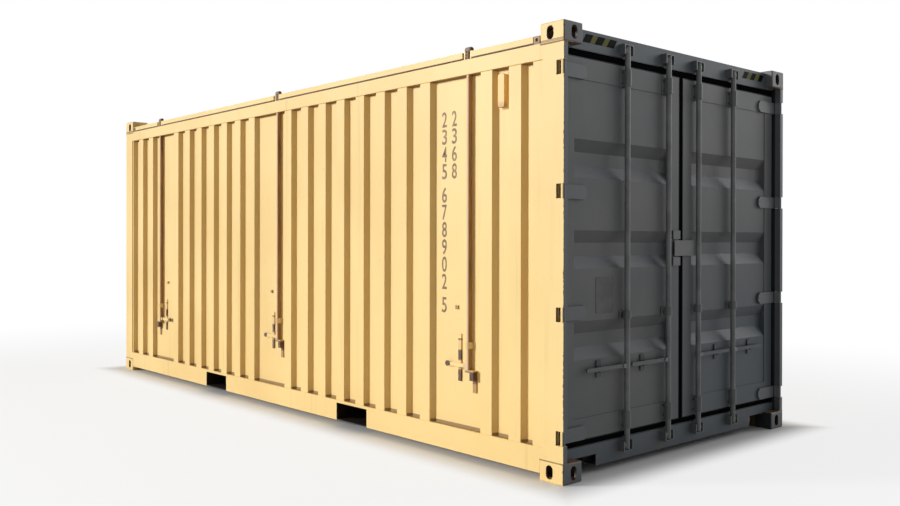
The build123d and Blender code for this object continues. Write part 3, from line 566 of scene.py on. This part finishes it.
def tan_vent(paint):
    """Vent covers: a tan hood on a flange as sandy as the wall; the hood's lower part is painted a warmer
    brown, as reflected light.
    """
    finish = Finish("tan_vent", roughness=0.45)
    box_low, box_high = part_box("vent_covers")
    brown_top, brown_full, hood_depth = 0.06, 0.02, 0.024
    # Painted reflected light: the hood turns a warmer brown towards its bottom.
    lower = finish.z.fade(box_low.z + brown_top, box_low.z + brown_full)
    hood = finish.mix(lower * 0.5, paint.vent, paint.rust)
    on_hood = abs(finish.y).above(box_high.y - hood_depth)
    finish.coat(finish.mix(on_hood, sand_coat(finish, paint), hood))
    finish.bump(finish.noise(260.0), 0.0006)
    return finish.material


def seal_rubber(paint):
    """Seals, with fine ribs along them and a bloom of dust."""
    finish = Finish("seal_rubber", specular=0.0)
    bloom = finish.noise(18.0, detail=4.0)
    dusty = tuple(min(1.0, c * 2.2) for c in paint.rubber)
    finish.coat(finish.mix(bloom.fade(0.5, 0.8) * 0.3, paint.rubber, dusty), bloom * 0.3 + 0.5)
    finish.bump(finish.noise(150.0), 0.0006)
    return finish.material


def base_coating(paint):
    """Thick dark coating under the floor, with road dirt."""
    finish = Finish("base_coating", specular=0.1, roughness=0.7)
    dirt = finish.noise(11.0, detail=5.0)
    finish.coat(finish.mix(dirt.fade(0.45, 0.75) * 0.35, paint.base, paint.old_rust))
    finish.bump(dirt, 0.002)
    return finish.material


def floor_boards(paint):
    """Plywood floor: grain along the container, joints between boards and wheel marks."""
    finish = Finish("floor_boards")
    board_length, board_width, joint = 2.44, 1.16, 0.004
    joint_dark = (0.01, 0.008, 0.006)
    grain = finish.noise(9.0, stretch=(0.5, 9.0, 1.0), detail=6.0, shift=2.0)
    marks = finish.noise(2.2, stretch=(0.4, 2.5, 1.0), detail=4.0, shift=5.0)
    dark = tuple(c * 0.45 for c in paint.ply)
    pale = tuple(min(1.0, c * 1.35) for c in paint.ply)
    wood = finish.mix(grain.fade(0.35, 0.65), dark, pale)
    wood = finish.mix(marks.fade(0.5, 0.7) * 0.55, wood, dark)
    gap = finish.x.cycle(board_length).below(joint).most(finish.y.cycle(board_width).below(joint))
    finish.coat(finish.mix(gap, wood, joint_dark), marks * 0.3 + 0.45)
    finish.bump(grain - gap, 0.0015)
    return finish.material


def stencil_paint(paint):
    """Thin brown paint of the numbers, worn through in places."""
    finish = Finish("stencil_paint", roughness=0.55)
    thin = finish.noise(30.0, detail=3.0)
    finish.coat(finish.mix(thin.fade(0.4, 0.8) * 0.5, paint.mark, paint.sand_grime_and_shade))
    return finish.material


def hazard_foil(name, colour, paint):
    """Foil of one colour, dusty like the header that it lies on."""
    finish = Finish(name, specular=0.02)
    dust = finish.noise(40.0, detail=4.0)
    finish.coat(finish.mix(dust.fade(0.4, 0.8) * 0.08, colour, paint.slate))
    return finish.material


def yellow_foil(paint):
    """Light foil under the stripes."""
    return hazard_foil("yellow_foil", tuple(paint.hazard), paint)


def black_foil(paint):
    """Dark foil of the stripes."""
    return hazard_foil("black_foil", screen(9, 9, 8), paint)


def bare_plate(paint):
    """Blank metal plate under a coat of slate paint."""
    finish = Finish("bare_plate", specular=0.25)
    worn = finish.noise(16.0, detail=4.0)
    tone = finish.mix(worn.fade(0.35, 0.7), tuple(c * 0.75 for c in paint.slate), paint.slate)
    finish.coat(finish.mix(worn * 0.1, tone, paint.bar))
    finish.bump(finish.noise(220.0), 0.0004)
    return finish.material


FINISHES = (
    sand_steel, slate_steel, gear_steel, rod_steel, dark_steel, brown_bar, worn_gear, lug_steel,
    tan_vent, seal_rubber, base_coating, floor_boards, stencil_paint, yellow_foil, black_foil, bare_plate,
)


def finish_named(name):
    """The material of that name, built when it is first asked for."""
    made = bpy.data.materials.get(name)
    if made is None:
        builders = {builder.__name__: builder for builder in FINISHES}
        made = builders[name](bpy.context.scene.container_paint)
    return made


def paint_nodes(finish_name, names):
    """Gives CAD nodes a finish."""
    material = finish_named(finish_name)
    for name in names:
        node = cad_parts[name]
        if not node.material_slots:
            node.data.materials.append(material)
        for slot in node.material_slots:
            slot.material = material


def nodes_with(*words):
    """Names of the CAD nodes that hold one of the words."""
    return [name for name in sorted(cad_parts) if any(word in name for word in words)]


def solid_boxes(node):
    """Lowest and highest corner of each separate solid of a CAD node, sorted."""
    mesh = bmesh.new()
    mesh.from_mesh(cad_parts[node].data)
    bmesh.ops.remove_doubles(mesh, verts=mesh.verts, dist=1e-5)
    left = set(mesh.verts)
    boxes = []
    while left:
        group = [left.pop()]
        for vertex in group:
            joined = {edge.other_vert(vertex) for edge in vertex.link_edges} & left
            left -= joined
            group += joined
        corners = [tuple(vertex.co) for vertex in group]
        boxes.append((Vector(map(min, zip(*corners))), Vector(map(max, zip(*corners)))))
    mesh.free()
    return sorted(boxes, key=lambda box: tuple(box[0]))


def new_object(name, data):
    """An object of the scene that holds the data."""
    made = bpy.data.objects.new(name, data)
    bpy.context.scene.collection.objects.link(made)
    return made


def place_piece(name, mesh, body, finish_name=None):
    """Links a finished mesh as a piece that moves with a body."""
    if finish_name:
        mesh.materials.clear()
        mesh.materials.append(finish_named(finish_name))
    piece = new_object(name, mesh)
    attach(piece, body)


def new_tree(name, inputs):
    """An empty Geometry Nodes tree with a geometry in and out and inputs of the named kinds."""
    tree = bpy.data.node_groups.new(name, "GeometryNodeTree")
    for label, kind in {"Geometry": "Geometry", **inputs}.items():
        tree.interface.new_socket(label, in_out="INPUT", socket_type="NodeSocket" + kind)
    tree.interface.new_socket("Geometry", in_out="OUTPUT", socket_type="NodeSocketGeometry")
    graph = Graph(tree)
    return tree, graph, graph.add("NodeGroupInput").outputs


def end_tree(graph, geometry, material):
    """Turns instances into plain geometry with its material, as the tree's result."""
    real = graph.add("GeometryNodeRealizeInstances", {"Geometry": geometry}).outputs[0]
    painted = graph.add("GeometryNodeSetMaterial", {"Geometry": real, "Material": material}).outputs[0]
    graph.add("NodeGroupOutput", {0: painted})


def head_tree():
    """Puts a domed head on every point of a mesh, along the point's facing."""
    sizes = {"Radius": "Float", "Height": "Float", "Corners": "Int", "Material": "Material"}
    crown_share = 0.72
    tree, graph, given = new_tree("Fastener heads", sizes)
    radius = Number(graph, given["Radius"])
    head = graph.add("GeometryNodeMeshCone", {
        "Vertices": given["Corners"], "Radius Top": radius * crown_share, "Radius Bottom": radius,
        "Depth": given["Height"],
    })
    facing = graph.add("GeometryNodeInputNamedAttribute", {"Name": "facing"}, data_type="FLOAT_VECTOR")
    turn = graph.add("FunctionNodeAlignRotationToVector", {"Vector": facing.outputs[0]}, axis="Z")
    heads = graph.add("GeometryNodeInstanceOnPoints", {
        "Points": given["Geometry"], "Instance": head.outputs[0], "Rotation": turn.outputs[0],
    })
    end_tree(graph, heads.outputs[0], given["Material"])
    return tree


def bead_tree():
    """Runs a rippled weld bead along every chain of edges."""
    sizes = {"Bead Radius": "Float", "Ripple Length": "Float", "Material": "Material"}
    thin, swell, sides = 0.85, 0.25, 6
    tree, graph, given = new_tree("Weld beads", sizes)
    path = graph.add("GeometryNodeMeshToCurve", {0: given["Geometry"]}).outputs[0]
    steps = {"Curve": path, "Length": given["Ripple Length"]}
    even = graph.add("GeometryNodeResampleCurve", steps, mode="LENGTH").outputs[0]
    index = Number(graph, graph.add("GeometryNodeInputIndex").outputs[0])
    waves = {"Curve": even, "Radius": index.cycle(2.0) * swell + thin}
    ripples = graph.add("GeometryNodeSetCurveRadius", waves).outputs[0]
    profile = {"Resolution": sides, "Radius": given["Bead Radius"]}
    ring = graph.add("GeometryNodeCurvePrimitiveCircle", profile).outputs[0]
    sweep = {"Curve": ripples, "Profile Curve": ring, "Fill Caps": True}
    bead = graph.add("GeometryNodeCurveToMesh", sweep)
    end_tree(graph, bead.outputs[0], given["Material"])
    return tree


TREES = {"Fastener heads": head_tree, "Weld beads": bead_tree}


def grown_mesh(name, tree_name, source, values):
    """Plain mesh that a Geometry Nodes tree grows on a source mesh."""
    tree = bpy.data.node_groups.get(tree_name) or TREES[tree_name]()
    host = new_object(name + "_host", source)
    modifier = host.modifiers.new("growth", "NODES")
    modifier.node_group = tree
    for item in tree.interface.items_tree:
        if item.in_out == "INPUT" and item.name in values:
            modifier[item.identifier] = values[item.name]
    grown = host.evaluated_get(bpy.context.evaluated_depsgraph_get())
    mesh = bpy.data.meshes.new_from_object(grown)
    mesh.name = name
    bpy.data.objects.remove(host)
    bpy.data.meshes.remove(source)
    return mesh


def add_heads(name, spots, body, finish_name, radius, height, corners=6):
    """A piece of like heads, one at each (place, facing) spot."""
    source = bpy.data.meshes.new(name + "_spots")
    source.from_pydata([place for place, _ in spots], [], [])
    directions = source.attributes.new("facing", "FLOAT_VECTOR", "POINT")
    directions.data.foreach_set("vector", [part for _, facing in spots for part in facing])
    finish = finish_named(finish_name)
    values = {"Radius": radius, "Height": height, "Corners": corners, "Material": finish}
    place_piece(name, grown_mesh(name, "Fastener heads", source, values), body)


def add_beads(name, chains, body, finish_name):
    """A piece of weld beads, one along each chain of points."""
    seams = bpy.context.scene.container_seams
    points, edges = [], []
    for chain in chains:
        start = len(points)
        points += chain
        edges += [(start + i, start + i + 1) for i in range(len(chain) - 1)]
    source = bpy.data.meshes.new(name + "_paths")
    source.from_pydata(points, edges, [])
    values = {
        "Bead Radius": seams.bead_radius, "Ripple Length": seams.ripple_length,
        "Material": finish_named(finish_name),
    }
    place_piece(name, grown_mesh(name, "Weld beads", source, values), body)


def wall_chain(node, height, thickness):
    """Outer outline of a corrugated side wall at a height, from the front to the doors."""
    points = [vertex.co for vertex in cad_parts[node].data.vertices]
    ridge = max(abs(p.y) for p in points)
    floor = min(abs(p.y) for p in points) + thickness
    top = max(p.z for p in points)
    reach = thickness / 4
    outer = [
        (p.x, p.y) for p in points
        if p.z > top - reach and min(abs(abs(p.y) - ridge), abs(abs(p.y) - floor)) < reach
    ]
    return [(x, y, height) for x, y in sorted(set((round(x, 5), round(y, 5)) for x, y in outer))]


class CONTAINER_OT_paint_body(bpy.types.Operator):
    """Paint the frame, walls, base and roof"""

    bl_idname = "container.paint_body"
    bl_label = "Paint the body"

    def execute(self, context):
        shell = nodes_with("casting", "post", "rail", "wall", "roof_frame", "roof_panel")
        paint_nodes("sand_steel", shell)
        paint_nodes("sand_steel", ["door_hinge_lugs", "left_door_hinges", "right_door_hinges"])
        paint_nodes("base_coating", ["cross_members", "fork_pockets"])
        paint_nodes("floor_boards", ["floor"])
        paint_nodes("seal_rubber", ["roof_seal"])
        paint_nodes("tan_vent", ["vent_covers"])
        return {"FINISHED"}


class CONTAINER_OT_paint_doors(bpy.types.Operator):
    """Paint the doors, the header and the sill"""

    bl_idname = "container.paint_doors"
    bl_label = "Paint the door end"

    def execute(self, context):
        paint_nodes("slate_steel", nodes_with("door_frame", "door_panel", "door_header", "door_sill"))
        paint_nodes("gear_steel", nodes_with("rod_guides", "keepers", "interlock"))
        paint_nodes("rod_steel", [name for name in sorted(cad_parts) if name.endswith("_rod")])
        paint_nodes("slate_steel", nodes_with("_rod_handle"))
        paint_nodes("dark_steel", nodes_with("door_catches"))
        paint_nodes("seal_rubber", nodes_with("gasket"))
        return {"FINISHED"}


class CONTAINER_OT_paint_locks(bpy.types.Operator):
    """Paint the roof locks"""

    bl_idname = "container.paint_locks"
    bl_label = "Paint the roof locks"

    def execute(self, context):
        bars = [name for name in nodes_with("_roof_lock") if not name.endswith("handle")]
        paint_nodes("brown_bar", bars)
        paint_nodes("worn_gear", nodes_with("_roof_lock_handle", "roof_lock_brackets", "roof_lock_catches"))
        return {"FINISHED"}


class CONTAINER_OT_weld_seams(bpy.types.Operator):
    """Lay weld beads along the joints of the frame, the walls and the castings"""

    bl_idname = "container.weld_seams"
    bl_label = "Lay the weld seams"

    def execute(self, context):
        seams = context.scene.container_seams
        chains = []
        for side, sign in SIDES:
            wall = "side_wall_" + side
            low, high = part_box(wall)
            chains += [wall_chain(wall, z, seams.sheet) for z in (low.z, high.z)]
            ridge = sign * max(abs(low.y), abs(high.y))
            chains += [[(x, ridge, low.z), (x, ridge, high.z)] for x in (low.x, high.x)]
        for low, high in solid_boxes("rear_corner_posts") + solid_boxes("front_corner_posts"):
            ring = ((low.x, low.y), (high.x, low.y), (high.x, high.y), (low.x, high.y), (low.x, low.y))
            for z in (low.z, high.z):
                chains.append([(x, y, z) for x, y in ring])
        add_beads("frame_weld_seams", chains, "frame", "sand_steel")
        return {"FINISHED"}


class CONTAINER_OT_fasteners(bpy.types.Operator):
    """Set the bolts of the rod guides and the floor screws"""

    bl_idname = "container.fasteners"
    bl_label = "Set the fasteners"

    def execute(self, context):
        sizes = context.scene.container_fasteners
        inset = sizes.bolt_inset
        outward, guide_plate = (1.0, 0.0, 0.0), 0.005
        for side, _ in SIDES:
            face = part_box(side + "_door_frame")[1].x + guide_plate
            spots = []
            for low, high in solid_boxes(side + "_door_rod_guides"):
                for y in (low.y + inset, high.y - inset):
                    for z in (low.z + inset, high.z - inset):
                        spots.append(((face, y, z), outward))
            add_heads(
                side + "_door_guide_bolts", spots, side + "_door", "dark_steel",
                sizes.bolt_radius, sizes.bolt_height,
            )
        floor_low, floor_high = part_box("floor")
        rows = sizes.screw_rows
        spots = []
        for low, high in solid_boxes("cross_members"):
            x = (low.x + high.x) / 2
            for i in range(rows):
                y = floor_low.y + (i + 0.5) * (floor_high.y - floor_low.y) / rows
                spots.append(((x, y, floor_high.z), (0.0, 0.0, 1.0)))
        add_heads(
            "floor_screws", spots, "frame", "gear_steel",
            sizes.screw_radius, sizes.screw_height, 10,
        )
        return {"FINISHED"}


def oblong(y_low, y_high, z_low, z_high, lean=0.0):
    """Outline of an oblong in Y and Z. Its top is moved along Y by the lean."""
    return (y_low, z_low), (y_high, z_low), (y_high + lean, z_high), (y_low + lean, z_high)


def slab_piece(name, slabs, body, finish_name):
    """A piece of flat slabs, each given by its outline in Y and Z, its lowest X and its thickness."""
    work = bmesh.new()
    for outline, x, thickness in slabs:
        near = [work.verts.new((x + thickness, y, z)) for y, z in outline]
        far = [work.verts.new((x, y, z)) for y, z in outline]
        work.faces.new(near)
        work.faces.new(far[::-1])
        for i in range(len(outline)):
            j = (i + 1) % len(outline)
            work.faces.new((near[j], near[i], far[i], far[j]))
    bmesh.ops.recalc_face_normals(work, faces=work.faces)
    mesh = bpy.data.meshes.new(name)
    work.to_mesh(mesh)
    work.free()
    place_piece(name, mesh, body, finish_name)


def lock_x(side, place):
    """X of the axis of a roof lock's bar, whose cap reaches half its length to each side."""
    low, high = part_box(side + "_" + place + "_roof_lock")
    half_cap = 0.033
    return low.x + half_cap if place == "front" else high.x - half_cap


class CONTAINER_OT_side_lugs(bpy.types.Operator):
    """Weld a small lug beside each roof lock bar"""

    bl_idname = "container.side_lugs"
    bl_label = "Weld the side lugs"

    def execute(self, context):
        sheet = context.scene.container_seams.sheet
        offset, width, height, depth, bottom = 0.126, 0.022, 0.022, 0.010, 0.929
        for side, sign in SIDES:
            low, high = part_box("side_wall_" + side)
            face = sign * (min(abs(low.y), abs(high.y)) + sheet)
            outline = oblong(*sorted((face, face + sign * depth)), bottom, bottom + height)
            slabs = [
                (outline, lock_x(side, place) + hand * offset - width / 2, width)
                for place, hand in (("rear", -1), ("middle", -1), ("front", 1))
            ]
            slab_piece(side + "_lock_lugs", slabs, "frame", "lug_steel")
        return {"FINISHED"}


class CONTAINER_OT_interlock_face(bpy.types.Operator):
    """Fix the face plate that laps from the right door over the left one"""

    bl_idname = "container.interlock_face"
    bl_label = "Interlock face plate"

    def execute(self, context):
        low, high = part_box("door_interlock_plate")
        left, right, thickness = -0.092, 0.168, 0.004
        slabs = [(oblong(left, right, low.z, high.z), high.x, thickness)]
        slab_piece("interlock_face", slabs, "right_door", "gear_steel")
        return {"FINISHED"}


class CONTAINER_OT_hazard_stripes(bpy.types.Operator):
    """Stick the striped foil on the header beside the castings"""

    bl_idname = "container.hazard_stripes"
    bl_label = "Hazard stripes"

    def execute(self, context):
        film = context.scene.container_marks.film
        header_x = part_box("door_header")[1].x
        bottom, height, lean, count = 2.508, 0.049, 0.034, 3

        def leaning(start, width):
            return oblong(start, start + width, bottom, bottom + height, lean)

        for side, start, pitch, dark in (("left", -0.988, 0.111, 0.066), ("right", 0.753, 0.103, 0.053)):
            base = [(leaning(start, (count - 1) * pitch + dark), header_x, film)]
            stripes = [(leaning(start + i * pitch, dark), header_x + film, film) for i in range(count)]
            slab_piece(side + "_hazard_base", base, "frame", "yellow_foil")
            slab_piece(side + "_hazard_stripes", stripes, "frame", "black_foil")
        return {"FINISHED"}


class CONTAINER_OT_number_marks(bpy.types.Operator):
    """Stencil the columns of plain numbers on both sides"""

    bl_idname = "container.number_marks"
    bl_label = "Number columns"

    def execute(self, context):
        marks = context.scene.container_marks
        seams = context.scene.container_seams
        columns = ((1.044, ("2345", "678902", "5")), (0.950, ("2368",)))
        for side, sign in SIDES:
            low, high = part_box("side_wall_" + side)
            recess = min(abs(low.y), abs(high.y)) + seams.sheet
            joined = bmesh.new()
            for from_end, groups in columns:
                z = marks.column_top
                for group in groups:
                    for digit in group:
                        mesh = self.digit(digit, marks, DOOR_END - from_end, sign * recess, z, sign)
                        joined.from_mesh(mesh)
                        bpy.data.meshes.remove(mesh)
                        z -= marks.digit_pitch
                    z -= marks.group_gap
            result = bpy.data.meshes.new(side + "_number_columns")
            joined.to_mesh(result)
            joined.free()
            place_piece(side + "_number_columns", result, "frame", "stencil_paint")
        return {"FINISHED"}

    def digit(self, digit, marks, x, y, top, sign):
        """Mesh of one number standing on a side wall."""
        stroke_growth = 0.012
        text = bpy.data.curves.new("digit", "FONT")
        text.body = digit
        text.extrude = marks.film / 2
        text.offset = stroke_growth
        writer = new_object("digit", text)
        grown = writer.evaluated_get(bpy.context.evaluated_depsgraph_get())
        mesh = bpy.data.meshes.new_from_object(grown)
        bpy.data.objects.remove(writer)
        bpy.data.curves.remove(text)
        corners = [vertex.co for vertex in mesh.vertices]
        low = Vector((min(c.x for c in corners), min(c.y for c in corners), 0))
        high = Vector((max(c.x for c in corners), max(c.y for c in corners), 0))
        grown_size = high - low
        fit = (marks.digit_width / grown_size.x, marks.digit_height / grown_size.y, 1, 1)
        middle = Matrix.Translation(-(low + high) / 2)
        stand = Matrix.Rotation(math.radians(90), 4, "X")
        turn = Matrix.Rotation(0 if sign < 0 else math.pi, 4, "Z")
        place = Matrix.Translation((x, y + sign * marks.film / 2, top - marks.digit_height / 2))
        mesh.transform(place @ turn @ stand @ Matrix.Diagonal(fit) @ middle)
        return mesh


class CONTAINER_OT_blank_plate(bpy.types.Operator):
    """Fix the blank plate to the left door"""

    bl_idname = "container.blank_plate"
    bl_label = "Blank plate"

    def execute(self, context):
        panel_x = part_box("left_door_panel")[1].x
        left, right, bottom, top = -0.861, -0.694, 0.933, 1.149
        thickness, corner = 0.0015, 0.012
        outline = []
        for u, v, start in (
            (right - corner, top - corner, 0), (left + corner, top - corner, 90),
            (left + corner, bottom + corner, 180), (right - corner, bottom + corner, 270),
        ):
            for step in range(4):
                angle = math.radians(start + 30 * step)
                outline.append((u + corner * math.cos(angle), v + corner * math.sin(angle)))
        slabs = [(outline, panel_x, thickness)]
        slab_piece("blank_plate", slabs, "left_door", "bare_plate")
        spots = [
            ((panel_x + thickness, y, z), (1.0, 0.0, 0.0))
            for y in (left + corner, right - corner) for z in (bottom + corner, top - corner)
        ]
        radius, height = 0.004, 0.0025
        add_heads(
            "blank_plate_rivets", spots, "left_door", "gear_steel", radius, height, 10
        )
        return {"FINISHED"}


class CONTAINER_OT_stage(bpy.types.Operator):
    """Set the floor, the lamps and the camera"""

    bl_idname = "container.stage"
    bl_label = "Set the stage"

    def execute(self, context):
        settings = context.scene.container_stage
        self.world(settings)
        self.floor(settings)
        self.lamp("key_lamp", settings.key, (-0.60, -0.78, 0.26), 10)
        self.lamp("fill_lamp", settings.fill, (0.30, 0.95, 0.35), 30)
        self.camera()
        context.scene.view_settings.view_transform = "Standard"
        return {"FINISHED"}

    def seen_directly(self, graph):
        """1 for rays that show the background: from the camera, in gloss and through glass."""
        rays = graph.add("ShaderNodeLightPath").outputs
        kinds = ("Is Camera Ray", "Is Glossy Ray", "Is Transmission Ray")
        camera, glossy, through = (Number(graph, rays[kind]) for kind in kinds)
        return camera.most(glossy).most(through)

    def world(self, settings):
        world = bpy.data.worlds.new("studio")
        world.use_nodes = True
        graph = Graph(world.node_tree)
        strength = self.seen_directly(graph) * (1 - settings.ambient) + settings.ambient
        sky = graph.add("ShaderNodeBackground", {"Color": (1, 1, 1, 1), "Strength": strength})
        graph.add("ShaderNodeOutputWorld", {"Surface": sky.outputs[0]})
        bpy.context.scene.world = world

    def floor(self, settings):
        half = 40.0
        mesh = bpy.data.meshes.new("studio_floor")
        corners = [(-half, -half, 0), (half, -half, 0), (half, half, 0), (-half, half, 0)]
        mesh.from_pydata(corners, [], [(0, 1, 2, 3)])
        floor = new_object("studio_floor", mesh)
        finish = Finish("studio_floor", roughness=0.9)
        finish.shader.inputs["Base Color"].default_value = (*settings.floor, 1)
        glow = finish.add("ShaderNodeEmission", {"Color": (1, 1, 1, 1), "Strength": 1.0})
        outside = (abs(finish.x) - cad_high.x).most(abs(finish.y) - cad_high.y)
        # The floor shows its shadow close to the container and fades to white further out.
        clear = outside.fade(-0.02, 0.30) * 0.8 + outside.fade(0.2, 6.0) * 0.2
        parts = {0: self.seen_directly(finish) * clear, 1: finish.shader.outputs[0], 2: glow.outputs[0]}
        both = finish.add("ShaderNodeMixShader", parts)
        finish.add("ShaderNodeOutputMaterial", {"Surface": both.outputs[0]}, is_active_output=True)
        mesh.materials.append(finish.material)

    def lamp(self, name, strength, towards, softness):
        """A sun lamp that shines from a direction, with soft shadows."""
        data = bpy.data.lights.new(name, "SUN")
        data.energy = strength
        data.angle = math.radians(softness)
        lamp = new_object(name, data)
        lamp.rotation_mode = "QUATERNION"
        lamp.rotation_quaternion = Vector(towards).to_track_quat("Z", "Y")

    def camera(self):
        """The photographer's view: near the rear left corner, at chest height."""
        heading, pitch, roll = (math.radians(angle) for angle in (138.481, -0.176, 0.091))
        data = bpy.data.cameras.new("camera")
        data.sensor_width = 36.0
        data.lens = 36.03
        data.shift_x = 0.0082
        data.shift_y = -0.0120
        camera = new_object("camera", data)
        camera.location = (6.317, -5.024, 1.368)
        level = math.cos(pitch)
        ahead = Vector((math.cos(heading) * level, math.sin(heading) * level, math.sin(pitch)))
        camera.rotation_mode = "QUATERNION"
        camera.rotation_quaternion = ahead.to_track_quat("-Z", "Y") @ Quaternion((0, 0, 1), roll)
        bpy.context.scene.camera = camera


GROUPS = (
    ("container_paint", PaintSettings),
    ("container_seams", SeamSettings),
    ("container_fasteners", FastenerSettings),
    ("container_marks", MarkSettings),
    ("container_stage", StageSettings),
)
OPERATORS = (
    CONTAINER_OT_paint_body,
    CONTAINER_OT_paint_doors,
    CONTAINER_OT_paint_locks,
    CONTAINER_OT_weld_seams,
    CONTAINER_OT_fasteners,
    CONTAINER_OT_side_lugs,
    CONTAINER_OT_interlock_face,
    CONTAINER_OT_hazard_stripes,
    CONTAINER_OT_number_marks,
    CONTAINER_OT_blank_plate,
    CONTAINER_OT_stage,
)


class CONTAINER_PT_panel(bpy.types.Panel):
    """Lists the steps of the dressing"""

    bl_idname = "CONTAINER_PT_panel"
    bl_label = "Hard-top container"
    bl_space_type = "VIEW_3D"
    bl_region_type = "UI"
    bl_category = "Container"

    def draw(self, context):
        for operator in OPERATORS:
            self.layout.operator(operator.bl_idname)


def register():
    for name, group in GROUPS:
        bpy.utils.register_class(group)
        setattr(bpy.types.Scene, name, PointerProperty(type=group))
    for item in (*OPERATORS, CONTAINER_PT_panel):
        bpy.utils.register_class(item)


def unregister():
    for item in (CONTAINER_PT_panel, *OPERATORS[::-1]):
        bpy.utils.unregister_class(item)
    for name, group in GROUPS[::-1]:
        delattr(bpy.types.Scene, name)
        bpy.utils.unregister_class(group)


def main():
    register()
    for operator in OPERATORS:
        step = operator.bl_idname.split(".")[1]
        getattr(bpy.ops.container, step)()


if __name__ == "__main__":
    main()
